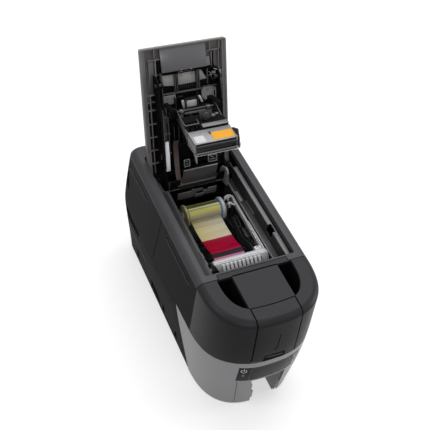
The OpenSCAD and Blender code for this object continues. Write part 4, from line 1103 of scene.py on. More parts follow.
    def front_cover(self) -> None:
        """Adds the black nose cover with the two finger wells."""
        cover = self.skin().keep(self.nose_region())
        slot = box(-self.well_in, -self.nose - 5, self.mid, self.well_in, 0.2, self.deck + 1)
        cover.cut(slot)
        cups = self.well_plan(2.0)
        cups.keep(box(-70, -80, self.well_floor - 2, 70, 10, self.deck - 1.5))
        cups.cut(box(-self.well_in - 2, -self.nose, self.deck - 2.8, self.well_in + 0.1, 0.2, self.deck + 1),
            box(-self.well_in, -self.nose, self.deck - 9, self.well_in, -61.6, self.deck + 1))
        cover.join(cups)
        hole = self.well_plan(0.0).keep(box(-70, -80, self.well_floor, 70, 10, 260))
        cover.cut(hole, self.slot().cut(self.solid(1.0, 3)))
        pin = turned([(self.well_in + 0.3, 3.0), (self.well_in + 3.3, 3.0)], *self.door_pin).both()
        cover.join(pin)
        cover.cut(turned([(self.well_in - 1, 1.6), (self.well_in + 3, 1.6)], *self.door_pin).both())
        # A thin near-black lining inside both finger wells: painted shade in the deep wells.
        well_shade_lining = self.well_plan(0.0).cut(self.well_plan(-0.4).keep(box(-70, -80, self.well_floor + 0.4, 70,
            10, 260)))
        well_shade_lining.keep(box(-70, -80, self.well_floor, 70, -0.6, self.deck - 5)).keep(self.solid(4.5, 4))
        well_shade_lining.piece("well_liners", Look.INNER_AND_SHADE, Body.BASE, "deck_black", 0.0, smooth=20)
        # A near-black sheet just behind the slot, below the door: painted shade in the opening.
        foot = self.shell(0.5, 0.8, 5).keep(self.slot()).keep(self.nose_region())
        foot.cut(box(-60, -self.nose - 5, self.door_foot, 60, -50, self.deck))
        foot.piece("nose_slot_foot", Look.INNER_AND_SHADE, Body.BASE, "deck_black", 0.0)
        cover.piece("nose_cover", Look.NOSE, Body.BASE, "deck_black", 0.4, "front_cover",
            smooth=PANEL_SMOOTH)

    def door_plan(self, shift: float) -> Outline:
        """Plan of the door's rear edge, a shallow bow, closed in front of the nose."""
        reach = self.well_in - 2.0
        edge = [(reach * i / 8, -62.0 + shift + 2 * (reach * i / 8 / 35) ** 2) for i in range(8, -9, -1)]
        return [(-reach, -self.nose - 5), (reach, -self.nose - 5), *edge]

    def slot(self) -> Form:
        """The outline of the strip's slot, which runs down to the silver skirt."""
        z0, z1 = self.slot_z
        return self.front([(-18.5, z0), (19.5, z0), (16, z1), (-15.5, z1)])

    def hopper_door(self) -> None:
        """Adds the centre strip with its slot, and the plate over the card hopper."""
        low = self.door_foot
        door = self.skin().keep(slab(self.door_plan(0.0), low, self.deck + 1, "z"))
        inner = box(-33, -self.nose, self.deck - 4.8, 33, -50, self.deck - 2.5)
        ears = box(self.well_in - 4, -self.nose, low, self.well_in - 1, -84, low + 18).both()
        door.join(inner.join(ears).keep(self.solid(2.2, low)))
        door.cut(self.slot().cut(self.solid(1.0, 3)))
        pins = turned([(self.well_in - 3, 1.5), (self.well_in + 2.6, 1.5)], *self.door_pin).both()
        door.join(pins)
        door.piece("door_strip", Look.NOSE, Body.DOOR, "deck_black", 0.4, "hopper_door", smooth=PANEL_SMOOTH)
        # A near-black sheet just behind the strip's slot: painted shade in the opening.
        floor = self.shell(0.5, 0.8, 5).keep(self.slot())
        floor.keep(box(-60, -self.nose - 5, low, 60, -50, self.deck))
        floor.piece("door_slot_floor", Look.INNER_AND_SHADE, Body.DOOR, "deck_black", 0.0)
        line = [(-13, low + 5.8), (13, low + 3.4), (13, low + 4.4), (-13, low + 6.8)]
        self.shell(0.1, 0.5, 5).keep(slab(line, -self.nose - 5, -50, "y")).piece("door_slot_line",
            Look.LEDGE_AND_HIGHLIGHT, Body.DOOR, "deck_black", 0.0)
        hook = [(3.2, low + 51.5), (1.9, low + 51.5), (0.8, low + 25), (-3.4, low + 20.6),
            (-2.4, low + 19.2), (1.8, low + 22.4), (2.6, low + 25)]
        self.mark(hook, 0.1).piece("door_mark", Look.INNER_AND_SHADE, Body.DOOR, "deck_black", 0.0)
        plate = box(-self.well_in + 0.1, -64, self.deck - 2.5, self.well_in - 0.1, -1.9, self.deck)
        plate.cut(slab(self.door_plan(1.5), self.deck - 4, self.deck + 2, "z"),
            box(self.well_in - 2.2, -66, self.deck - 4, self.well_in + 1, -58.8, self.deck + 2).both())
        plate.piece("hopper_top_plate", Look.NOSE, Body.DOOR, "deck_black", 0.3, "hopper_door_top",
            smooth=20)

    def front_bezel(self) -> None:
        """Adds the silver skirt with the output notch."""
        x0, x1, z0, z1 = self.band
        left, right, top = self.notch
        skirt = self.skin().keep(self.skirt_region())
        rims = box(left - 2, -self.nose, 2, left, -62, top + 2)
        rims.join(box(left - 2, -self.nose, top, right + 8, -77, top + 1.6))
        skirt.join(rims.keep(self.solid(2.3, 2.0)))
        frame_box = box(x0 - 3, -self.nose - 5, z0 - 3, x1 + 3, -40, z1 + 3)
        ring = self.shell(2.3, 4.3, 4).keep(frame_box)
        skirt.join(ring)
        skirt.cut(box(x0, -self.nose - 6, z0, x1, -39, z1))
        mouth = [(left + 12, -1), (right + 8, -1), (right + 4, top), (left + 3, top)]
        mouth += arc(left + 3, top - 3, 3, 90, 180, 4)
        mouth += [(left + 4.4, 60), (left + 6.2, 38), (left + 9.8, 37), (left + 12.2, 15), (left + 10, 14)]
        skirt.cut(self.front(mouth))
        seam = [(left - 13.8, 1), (left - 13.0, 1), (left - 20.6, top), (left - 21.4, top)]
        skirt.cut(self.front(seam, -80))
        back = self.shell(2.6, 4.0, 4)
        back.keep(self.front([(right + 1.7, 3), (right + 12, 3), (right + 9, top), (right + 1.7, top)], -60))
        back.piece("notch_wall", Look.BRACKET, Body.BASE, "bracket_grey", 0.0)
        skirt.piece("silver_skirt", Look.SILVER, Body.BASE, "silver", 0.4, "front_bezel",
            smooth=PANEL_SMOOTH)

    def display(self) -> None:
        """Adds the glossy band: window, two keys, their plain symbols and the window's fine frame."""
        x0, x1, z0, z1 = self.band
        low, high = z0 + 0.4, z1 - 0.4
        spans = ((x0 + self.key_w, x1 - self.key_w, "display_glass", Body.BASE, "display_window"),
            (x0 + 0.4, x0 + self.key_w - 0.4, "left_key", Body.POWER_KEY, "power_button"),
            (x1 - self.key_w + 0.4, x1 - 0.4, "right_key", Body.USER_KEY, "user_button"))
        for a, b, name, body, node in spans:
            shell = self.solid(0.08).cut(self.solid(self.wall, 1.0)) if body is Body.BASE else self.skin()
            cap = shell.keep(self.front(rounded((a, low), (b, high), 1.5), -40))
            if body is not Body.BASE:
                middle, height = (a + b) / 2, (z0 + z1) / 2
                turns = [2 * math.pi * k / 24 for k in range(24)]
                stem = Form().loft([[(middle + 2.5 * math.cos(t), y,
                    height + 2.5 * math.sin(t)) for t in turns] for y in (-98, -78.2)])
                cap.join(stem.keep(self.solid(2.0, 70)))
            look = Look.DISPLAY if body is Body.BASE else Look.KEY
            cap.piece(name, look, body, "glossy_black", 0.4, node, smooth=PANEL_SMOOTH)
        self._symbols()

    def _symbols(self) -> None:
        """Plain marks: power sign and lamp on the left key, two signs and a lamp on the right one."""
        x, z = -40.6, 106.0
        ring = [*arc(x, z, 4.4, 125, 415, 24), *reversed(arc(x, z, 3.1, 125, 415, 24))]
        self.mark(ring).add(self.mark([(x - 0.8, z + 0.6), (x + 0.8, z + 0.6), (x + 0.8, z + 5.6),
            (x - 0.8, z + 5.6)])).piece("power_sign", Look.SYMBOL, Body.POWER_KEY, "glossy_black", 0.0)
        self.mark(arc(x + 0.6, z - 12, 2.0, 0, 345, 23)).piece("power_lamp", Look.BRACKET, Body.POWER_KEY,
            "glossy_black", 0.0)
        signs = self.mark([*arc(42.6, 106, 3.4, 0, 300, 20), *reversed(arc(42.6, 106, 2.2, 0, 300, 20))])
        signs.add(self.mark([(39.6, 93.8), (46.2, 93.8), (46.2, 98.4), (44.8, 98.4), (44.8, 95.0),
            (39.6, 95.0)]), self.mark([*arc(43.0, 86.5, 2.8, 0, 345, 20)]))
        signs.piece("user_signs", Look.SYMBOL, Body.USER_KEY, "glossy_black", 0.0)
        x0, x1, z0, z1 = self.band
        left, right = x0 + self.key_w + 2, x1 - self.key_w - 2
        line = self.mark(rounded((left, z0 + 2.2), (right, z1 - 2.2), 1.2), 0.0)
        line.cut(self.front(rounded((left + 0.6, z0 + 2.8), (right - 0.6, z1 - 2.8), 1.0), -40))
        line.piece("glass_frame", Look.LIP_SHADE_AND_HIGHLIGHT, Body.BASE, "glossy_black", 0.0)

    def notch_post(self) -> None:
        """Adds the small post inside the output notch."""
        post = slab([(31.0, 3), (34.4, 3), (36.2, 30), (33.6, 30)], -87.0, -82.4,
            "y").keep(self.solid(1.2, 2))
        post.piece("notch_post", Look.SYMBOL, Body.BASE, "bracket_grey", 0.3)


@dataclass(frozen=True)
class Cover:
    """The top cover: its skin, ribs, smooth panel and black inner frame, drawn closed."""

    half: float = 69.4
    front: float = 12.1
    back: float = 248.0
    top: float = 214.0
    skin: float = 2.5
    skirt: float = 8.0
    rim_in: float = 62.0
    frame_x: float = 48.6
    panel_half: float = 40.0
    under: float = 211.5
    hinge_x: Pair = (57.0, 61.5)

    def build(self) -> None:
        """Adds every piece of the cover that rides on its body."""
        self._skin()
        self._ribs()
        self._panel()
        self._frame()
        self._pockets()
        self._crossbar()
        self._guard()
        self._arm()
        self._cables()

    def _skin(self) -> None:
        """The cover's outer skin with its broad smooth rim."""
        low = self.top - self.skirt
        shell = slab(rounded((-self.half, self.front), (self.half, self.back), 3.0, 6), low, self.top - 0.4,
            "z")
        well = rounded((-self.rim_in, self.front + 3.2), (self.rim_in, self.back - 8), 1.2, 4)
        shell.cut(slab(well, low - 1, self.under, "z"))
        step = slab(rounded((-self.rim_in - 4, self.front + 1.6), (self.rim_in + 4, self.back - 4), 2),
            low - 1, low + 1.2, "z")
        shell.cut(step)
        slab(rounded((0.7 - self.half, self.front + 0.7), (self.half - 0.7, self.back - 0.7), 3.0, 6),
            self.top - 0.5, self.top, "z").piece("cover_outside", Look.DECK, Body.LID, "lid_grey", 0.4)
        shell.piece("cover_skin", Look.LID, Body.LID, "lid_grey", 0.6, "lid_shell")

    def _ribs(self) -> None:
        """Long ribs down both margins and the ladder of cross ribs between them."""
        boxes((-48.2, 14, 206, -47.2, 30, 212), (-47.4, 30, 205, -46.2, 190, 212),
            (-58.2, 83, 206, -57.2, 236, 212), (-58, 30, 206.4, -36, 31.2, 212), (41, 15, 206, 42, 28, 212),
            (56.4, 15, 206, 57.4, 28, 212), (37.5, 27.6, 206.2, 57.4, 28.8, 212),
            (43.4, 30, 205.4, 44.4, 56, 212), (55.8, 30, 206, 56.8, 200, 212),
            (-62.2, 83, 206.4, -46, 84.2, 212)).piece("cover_ribs", Look.LID, Body.LID, "lid_grey", 0.2)
        rung = box(0, 0, 0, 15.6, 1.1, 4.6)
        ladder = Copies(rung, Look.LID).laid((-62.2, 94, 206.6), (0, 12.4, 0), 1)
        ladder.add(Copies(rung, Look.LID).laid((-62.2, 107, 206.6), (0, 21.6, 0), 6),
            Copies(rung, Look.LID).laid((48.2, 134, 206.6), (0, 21.6, 0), 4))
        ladder.piece("cover_ladder", Look.LID, Body.LID, "lid_grey", 0.15)
        # Near-black sheets in the cells between the margin ribs and rungs: painted shade.
        boxes((-62, 16, 211.0, -60.4, 236, 211.7), (-45.6, 32, 205.8, -37.4, 52, 211.6),
            (-62, 96, 211.1, -46, 106, 211.7), (44.6, 30, 206, 47.4, 54, 211.7),
            (57.4, 29, 211, 60.6, 200, 211.7), (-57, 84, 211.1, -48, 93, 211.7),
            (-61.6, 107.5, 211.2, -46.6, 234, 211.75),
            (48.4, 120, 211.2, 61.4, 220, 211.75)).piece("cover_dark_wells", Look.INNER_AND_SHADE, Body.LID,
            "lid_grey", 0.1)
        slab([(32, 207.2), (82, 211.3), (82, 211.7), (32, 211.7)], -57.0, -48.4).piece("margin_ramp",
            Look.LID_PANEL, Body.LID, "lid_grey", 0.2)

    def _panel(self) -> None:
        """The smooth panel near the cover's front edge, with two small hooks below it."""
        half = self.panel_half
        face = [(14.6, 208.0), (49, 201.0), (50, 201.4), (50, 203.2), (49, 203.4), (15.2, 210.4)]
        panel = slab(face, 1.5 - half, half - 5.5)
        panel.join(box(1.5 - half, 16.4, 208.0, half - 5.5, 18.4, self.under),
            box(1.5 - half, 48.2, 201.2, half - 5.5, 50, self.under),
            slab([(36, 203.8), (49, 201.1), (50, 203), (37, 206)], half - 6, half - 0.5))
        panel.piece("smooth_panel", Look.LID_PANEL, Body.LID, "lid_grey", 0.7, "lid_inner_panel")
        hook = slab([(0, 0), (1.0, -3.2), (2.6, -5.2), (3.0, -4.6), (1.8, -2.8), (1.2, 0.4)], 0, 0.8)
        Copies(hook, Look.RAIL).laid((-8.6, 47.4, 203.4), (15.6, 0, 0), 2).piece("panel_hooks", Look.RAIL,
            Body.LID, "lid_grey", 0.15)

    def _frame(self) -> None:
        """The black inner frame: side walls with hinge arms, cross walls and shaft blocks."""
        x0, top = self.frame_x, self.under
        wall = [(54, top), (54, 198), (60, 190), (96, 186), (100, 182), (200, 182), (214, 176), (231, 176),
            (236, 186), (236, top)]
        side = slab(wall, x0, x0 + 2)
        side.cut(slab(rounded((118, 188), (170, 199), 2), x0 - 1, x0 + 3),
            slab(rounded((176, 187), (206, 203), 2), x0 - 1, x0 + 3),
            turned([(x0 - 1, 3.1), (x0 + 3, 3.1)], 66, 195))
        arm = [(210, top), (212, 193.4), (226, 193.4), (231, top)]
        knuckle = slab(arm, *self.hinge_x).join(turned([(x, 7.0) for x in self.hinge_x], *HINGE))
        knuckle.cut(turned([(self.hinge_x[0] - 1, 3.05), (self.hinge_x[1] + 1, 3.05)], *HINGE))
        knuckle.join(box(x0, 213, 200, 61.5, 227, top))
        block = box(33, 97, 167, 41, 111, top)
        block.cut(turned([(32, 2.55), (42, 2.55)], *SHAFT))
        side.join(knuckle).join(block)
        frame_all = side.both()
        cross = boxes((-40, 53, 201, x0, 54.2, top), (-40, 84, 199, 24, 85, top),
            (-x0, 196, 190, x0, 198, top), (-x0, 56, 209.5, x0, 232, top), (-34, 128, 190, 34, 130, 210),
            (-34, 160, 184, 34, 162, 210))
        frame_all.add(cross)
        frame_all.piece("cover_frame", Look.INNER_AND_SHADE, Body.LID, "liner_black", 0.4, "lid_frame")
        # Dark grey strips on the black frame's lower edges and thin ribs: their lighter grey is a painted
        # highlight.
        edges = Form()
        for x in (-x0 - 0.4, x0 + 1.4):
            edges.boxes((x, 100, 181.6, x + 1.0, 196, 183.0))
        for x, z in ((-46.5, 184), (-43, 188), (-39.5, 186)):
            edges.boxes((x, 112, z, x + 0.9, 178, z + 12))
        edges.boxes((-48, 112, 184, -37, 113.2, 196), (-48, 140, 186, -37, 141.2, 196),
            (-48, 171, 184, -37, 172.4, 190))
        edges.piece("frame_edges", Look.GUARD_AND_HIGHLIGHT, Body.LID, "liner_black", 0.2)

    def _pockets(self) -> None:
        """Pale pockets, ejector marks, thin ribs, dark wells and latch springs over the frame's front."""
        pale = Form()
        shapes = (((-38.5, 54.5), (-20.5, 54.5), (-20, 72.5), (-38, 70.5)),
            ((-13.2, 52.5), (14.6, 53.0), (15.2, 72.0), (-12.8, 72.6)),
            ((21.6, 53.5), (24.5, 54.0), (33.6, 69.5), (22.2, 70.2)),
            ((42.5, 60.5), (50.5, 59.0), (51.5, 69.5), (43.6, 69.8)),
            ((-38.0, 86.0), (-19.0, 86.0), (-17.5, 95.0), (-24.0, 101.0), (-38.0, 101.0)),
            ((24.0, 84.5), (38.0, 80.0), (49.0, 86.5), (50.0, 103.0), (29.5, 103.5), (24.4, 98.0)))
        for plan in shapes:
            pale.slab(plan, 202.6, 204.2, "z")
        pale.cut(box(45.2, 90.5, 200, 47.4, 100, 206))
        pale.piece("frame_pockets", Look.POCKET_AND_HIGHLIGHT, Body.LID, "lid_grey", 0.3)
        marks = Form()
        for x, y in ((-9, 57.5), (10.5, 57.5), (-33, 91), (34, 87.5)):
            ring = Form().post(x, y, [(202.2, 2.7), (202.7, 2.7)], 24)
            ring.cut(Form().post(x, y, [(202.0, 2.3), (202.45, 2.3)], 24))
            marks.add(ring)
        marks.piece("ejector_marks", Look.BRACKET, Body.LID, "lid_grey", 0.0)
        boxes((-41.2, 50.5, 198, -40.3, 110, 206), (-19.6, 54, 199, -18.7, 84, 206),
            (-16.4, 54, 199, -15.5, 84, 206), (16.4, 53, 199, 17.3, 84, 206), (19.4, 53, 199, 20.6, 84, 206),
            (-40, 82.6, 198.5, 26, 83.6, 206), (26, 80.8, 198.5, 50, 81.8, 206),
            (33.8, 54, 200, 34.8, 78, 206), (51.2, 58, 197.5, 52.2, 112, 206),
            (58.6, 60, 202, 59.5, 126, 208)).piece("frame_ribs", Look.LIP_SHADE_AND_HIGHLIGHT, Body.LID, "lid_grey", 0.2)
        Copies(box(0, 0, 0, 5.6, 10.4, 2), Look.POCKET_AND_HIGHLIGHT).laid((52.8, 60, 203), (0, 12.6, 0),
            5).piece("right_margin_pads", Look.POCKET_AND_HIGHLIGHT, Body.LID, "lid_grey", 0.3)
        boxes((-38, 73.5, 204.6, 33, 81.5, 206.6), (-20, 85.5, 204, 24, 112, 206),
            (35.5, 52, 203.6, 42, 79, 205.6), (23, 70.8, 203, 48, 79.6, 205),
            (-40, 101, 204.6, 50, 128, 206.6)).piece("frame_dark_wells", Look.INNER_AND_SHADE, Body.LID, "liner_black",
            0.2)
        Copies(box(0, 0, 0, 0.9, 7.4, 1.4), Look.HEAD_BAR).laid((-12, 73.8, 203.4), (3.1, 0, 0),
            9).piece("well_slats", Look.HEAD_BAR, Body.LID, "liner_black", 0.1)
        latch = Form().tube([(36, 58, 199), (38.5, 61, 197), (38, 66, 196.5), (41, 70, 197), (44, 73, 198)],
            0.6)
        latch.tube([(33.5, 65, 198), (36, 62.5, 196.5), (39.5, 63, 196)],
            0.5).tube([(44, 55, 200), (50, 57, 197)], 0.9)
        latch.piece("latch_springs", Look.DARK_STEEL, Body.LID, "steel", 0.0)

    def _crossbar(self) -> None:
        """Sensor windows, soft blocks and the bar between them, across the middle of the frame."""
        box(-5.5, 95.5, 191.5, 11, 106.0, 195).piece("sensor_window", Look.WHITE_LABEL, Body.LID,
            "gear_white", 0.5)
        ends = slab([(-13.5, 95), (-9.6, 94.2), (-7.6, 106), (-10.4, 108)], 192.5, 195, "z")
        ends.slab([(14.4, 91.5), (17.6, 91.0), (22.5, 101.5), (19.5, 103)], 192.5, 195, "z")
        ends.piece("sensor_clips", Look.CARTRIDGE, Body.LID, "gear_white", 0.3)
        boxes((-8.6, 92.6, 189, -6.6, 110, 203), (11.6, 91, 189, 13.6, 110, 203),
            (-16, 107.4, 191, 34, 108.8, 203), (-6.6, 92.4, 191, 11.6, 93.6, 199),
            (-22, 90, 196, -20.6, 110, 204), (-17, 88, 195, -10, 89.5, 203),
            (14, 86, 195, 15.2, 92, 203)).piece("sensor_cradle", Look.HEAD_BAR, Body.LID, "liner_black", 0.3)
        blocks = Form()
        for x, y in ((-24.5, 112), (38.5, 109)):
            blocks.slab(rounded((x, y), (x + 11, y + 12), 2.2, 4), 188, 197, "z")
        blocks.piece("soft_blocks", Look.GUARD_AND_HIGHLIGHT, Body.LID, "lid_grey", 1.2)
        bar = slab([(116.2, 189.5), (113.6, 191), (113.6, 194), (117.4, 194), (117.4, 191)], -10, 38)
        bar.boxes((-41.8, 100, 186, -40.6, 124, 202), (40, 100, 190, 41, 108, 200))
        bar.piece("middle_bar", Look.GUARD_AND_HIGHLIGHT, Body.LID, "lid_grey", 0.5)
        bosses = Form()
        for x, y in ((-31, 106), (-1, 120), (24, 120), (47, 104)):
            boss = Form().post(x, y, [(188, 3.0), (200, 3.4)], 24)
            bosses.add(boss.cut(Form().post(x, y, [(186, 1.2), (192, 1.2)], 16)))
        bosses.piece("frame_bosses", Look.HEAD_BAR, Body.LID, "liner_black", 0.3)
        Copies(box(0, 0, 0, 1.0, 26, 9), Look.HEAD_BAR).laid((-31, 131, 186), (7.6, 0, 0),
            9).piece("frame_webs", Look.HEAD_BAR, Body.LID, "liner_black", 0.25)

    def _guard(self) -> None:
        """The sloped guard under the head, with its wings and the plugs above it."""
        guard = slab([(194, 163), (195, 161.4), (223, 172.8), (222, 174.4)], -28, 29.5)
        slab([(223, 173.4), (224, 172.6), (232, 176.0), (231, 177.6)], -31, 31).piece("guard_foot",
            Look.LINER, Body.LID, "bracket_grey", 0.4)
        guard.piece("guard_plate", Look.GUARD_AND_HIGHLIGHT, Body.LID, "bracket_grey", 0.6, "lid_guard")
        slab([(212, 168.7), (213, 167), (229, 174), (228, 176)], 31.2, 48.4).both().piece("guard_wings",
            Look.INNER_AND_SHADE, Body.LID, "bracket_grey", 0.4)
        # Pale strips on the guard plate's front and rear edges: painted highlights.
        line = slab([(194.4, 162.4), (195.2, 161.2), (196.4, 161.8), (195.6, 163.4)], -27.8, 29.3)
        line.slab([(222.0, 172.4), (222.8, 171.6), (224.0, 172.2), (223.2, 173.4)], -28, 29.5)
        line.piece("guard_ridge", Look.LID, Body.LID, "bracket_grey", 0.1)
        box(-44, 203, 181, 44, 205, 209).piece("frame_rear_wall", Look.INNER_AND_SHADE, Body.LID, "liner_black", 0.3)
        plugs = Form()
        for x, wide in ((-19.6, 9.5), (21.1, 15)):
            rim = box(x, 186, 178.6, x + wide, 197.5, 181.6)
            rim.cut(box(x + 0.9, 186.9, 176, x + wide - 0.9, 196.6, 183),
                box(x + wide * 0.3, 184, 176, x + wide * 0.6, 188, 180.6))
            rim.add(box(x + wide * 0.3, 188.6, 178.8, x + wide * 0.6, 189.6, 181),
                box(x + 3, 192.6, 178.8, x + wide - 3, 193.6, 181))
            plugs.add(rim)
        plugs.piece("plug_rims", Look.RAIL, Body.LID, "gear_white", 0.12)

    def _arm(self) -> None:
        """The rounded grey arm at the frame's right, down to the hinge."""
        arm = [(206.5, 166), (208.5, 161.6), (214.5, 158.6), (229.5, 161.0), (237, 163.5), (237, 176),
            (226, 187), (216, 188), (209, 180)]
        slab(arm, 43.5, 46.8).piece("right_arm", Look.LID, Body.LID, "bracket_grey", 0.7)

    def _cables(self) -> None:
        """The white strip over its black sleeve, and the brown flat lead beside it."""
        sleeve = [(130, 196), (132, 194.5), (155, 192), (155, 194), (134, 196)]
        lead = [(152, 183.4), (180, 181.6), (200, 182.0), (200.6, 183.4), (180, 183.2), (152, 185.0)]
        slab(sleeve, -46, -40).piece("lead_sleeve", Look.HEAD_BAR, Body.LID, "cable_brown", 0.2,
            "head_cable")
        slab(lead, -48.4, -41.6).piece("white_lead", Look.SYMBOL, Body.LID, "gear_white", 0.2)
        path = [(150, 178), (158, 181.5), (186, 180.6), (204, 178.0), (224, 170.5)]
        outline = path + [(y + 0.4, z + 0.9) for y, z in reversed(path)]
        Copies(slab(outline, 0, 1.9), Look.CABLE).laid((-35.4, 0, 0), (2.0, 0, 0), 4).piece("brown_lead",
            Look.CABLE, Body.LID, "cable_brown", 0.1)


@dataclass(frozen=True)
class Head:
    """The print head in its silver carrier, drawn with the cover closed."""

    left: float = -32.5
    right: float = 35.5

    def build(self) -> None:
        """Adds the head's pieces."""
        slope = [(119.5, 128.0), (121.0, 129.0), (136.0, 130.0), (136.0, 128.0), (122.6, 127.0),
            (130.6, 102.0), (129.0, 101.2)]
        plate = slab(slope, self.left, self.right)
        flank = [(117.5, 137), (124, 139), (140, 128), (145.4, 106), (143.0, 101.4), (128.0, 101.4)]
        for x in (self.left, self.right - 2.0):
            plate.add(slab(flank, x, x + 2.0))
        plate.piece("head_cover", Look.HEAD, Body.HEAD, "head_silver", 0.35, "head_carrier")
        arm = [(98, 178), (110, 178), (124, 150), (128, 137), (117.5, 137), (98, 168)]
        arms = Form()
        for x in (self.left, self.right - 4.7):
            side = slab(arm, x + 0.2, x + 1.8)
            side.cut(turned([(x - 1, 2.55), (x + 3, 2.55)], *SHAFT))
            arms.add(side)
        arms.piece("head_arms", Look.HEAD_BAR, Body.HEAD, "head_silver", 0.3)
        self._labels()
        self._foot()
        self._upper()

    def _on_plate(self, x0: float, x1: float, high: float, low: float, lift: float) -> Form:
        """A thin patch on the sloped plate; high and low run from 0 at its top to 1 at its foot."""
        top, foot = Vector((119.5, 128.0)), Vector((129.0, 101.2))
        out = Vector((-1.0, -0.35)).normalized()
        a, b = top.lerp(foot, high), top.lerp(foot, low)
        return slab([tuple(a), tuple(a + out * lift), tuple(b + out * lift), tuple(b)], x0, x1)

    def _labels(self) -> None:
        """Bare labels on the plate."""
        self._on_plate(-28.5, -13.0, 0.42, 0.92, 0.25).piece("white_label", Look.WHITE_LABEL, Body.HEAD,
            "gear_white", 0.0)
        self._on_plate(-0.5, 33.0, 0.32, 0.90, 0.25).piece("yellow_label", Look.YELLOW_LABEL, Body.HEAD,
            "ribbon", 0.0)
        self._on_plate(-2.6, 0.6, 0.22, 0.42, 0.5).piece("label_mark", Look.HEAD_BAR, Body.HEAD,
            "head_black", 0.0)

    def _foot(self) -> None:
        """The black bar, the serrated strip and the bright edge under the plate."""
        block = slab([(130.8, 104.2), (144.6, 104.2), (144.6, 99.0), (146.0, 98.9), (146, 99.9),
            (144.8, 110.9), (133, 114.9)], -28, 33)
        heads = Copies(box(0, 0, 0, 7, 6, 12), Look.HEAD_BAR).laid((-26, 131, 112.9), (9, 0, 0), 6)
        block.add(heads)
        block.piece("head_block", Look.HEAD_BAR, Body.HEAD, "head_black", 0.3, "printhead")
        turned([(self.left + 2.2, 2.2), (self.left + 3, 2.9), (self.right - 3, 2.9),
            (self.right - 2.2, 2.2)], 135.0, 102.2, 24).piece("head_bar", Look.HEAD_BAR, Body.HEAD,
            "head_black", 0.0)
        strip = slab([(142.6, 98.4), (142.6, 100.4), (144.6, 100.4), (144.6, 98.4)], self.left + 1.5,
            self.right)
        tooth = slab([(0, 0), (1.6, 0), (2.6, 2.6), (1.0, 2.6)], 0, 1.9, "z")
        strip.cut(Copies(tooth, Look.STEEL).laid((-29, 142.2, 98), (3.2, 0, 0), 20))
        strip.piece("peel_strip", Look.RAIL, Body.HEAD, "steel", 0.15)
        edge = slab([(146.3, 98.9), (146.9, 98.9), (146.9, 99.5), (146.3, 99.5)], self.left + 1,
            self.right - 6)
        edge.tube([(29, 147.2, 99.5), (35, 147.5, 99.5), (38.4, 145, 99.6), (39.2, 140, 100),
            (38, 136.5, 101)], 0.7)
        edge.piece("thermal_edge", Look.STEEL, Body.HEAD, "steel", 0.1)
        ends = slab([(119, 106), (134, 101), (142, 104), (137, 118), (122, 122)], self.right + 0.2,
            self.right + 3.6)
        ends.slab([(134, 99.5), (146, 98.5), (147, 104), (136, 106)], self.right + 0.2, self.right + 2.4)
        ends.piece("head_ends", Look.HEAD_BAR, Body.HEAD, "head_black", 0.4)
        slab([(144, 99.4), (156, 97.8), (158, 99), (152, 104), (145, 108)], self.left,
            self.left + 1.6).piece("head_tip", Look.HEAD, Body.HEAD, "head_silver", 0.3)

    def _upper(self) -> None:
        """The black lattice and the cam between the plate and the cover."""
        lattice = slab([(106, 156), (108, 154), (118.6, 129), (120.4, 130), (110, 157)], -31, 34)
        hole = box(0, 100, 122, 3.2, 125, 146)
        lattice.cut(Copies(hole, Look.HEAD_BAR).laid((-28, 0, 0), (4.8, 0, 0), 4))
        lattice.piece("head_lattice", Look.INNER_AND_SHADE, Body.HEAD, "head_black", 0.2)
        # Grey strips along the black lattice's edges: painted highlights.
        rim = slab([(112, 138.4), (113.2, 138.8), (113.8, 137.2), (112.6, 136.8)], -31.5, -9)
        rim.slab([(106.8, 152.2), (112.4, 138.4), (113.4, 138.8), (107.8, 152.6)], -31.8, -30.9)
        rim.slab([(108.8, 147), (112.4, 138.4), (113.4, 138.8), (109.8, 147.4)], -9.9, -9.0)
        rim.piece("lattice_rim", Look.LIP_SHADE_AND_HIGHLIGHT, Body.HEAD, "head_silver", 0.1)
        slab([(113.0, 135.6), (114.4, 136.2), (117.4, 129.2), (116.2, 128.6)], -7, 35).piece("head_rail",
            Look.GUARD_AND_HIGHLIGHT, Body.HEAD, "head_silver", 0.4)
        cam = slab([(-5, 100), (14, 98), (18, 106), (12, 112), (-3, 112)], 146, 148, "z")
        cam.join(Form().post(5.5, 106.5, [(142.5, 5.4), (144, 6.2), (147, 6.2)], 32),
            Form().post(5.5, 106.5, [(140.5, 1.8), (143, 1.8)], 20))
        cam.piece("head_cam", Look.LINER, Body.HEAD, "head_silver", 0.3)
        boxes((13.5, 104.5, 143, 19, 108.0, 144.2), (20, 103.5, 143.6, 24.5, 106, 144.6)).piece("cam_clips",
            Look.RAIL, Body.HEAD, "gear_white", 0.2)


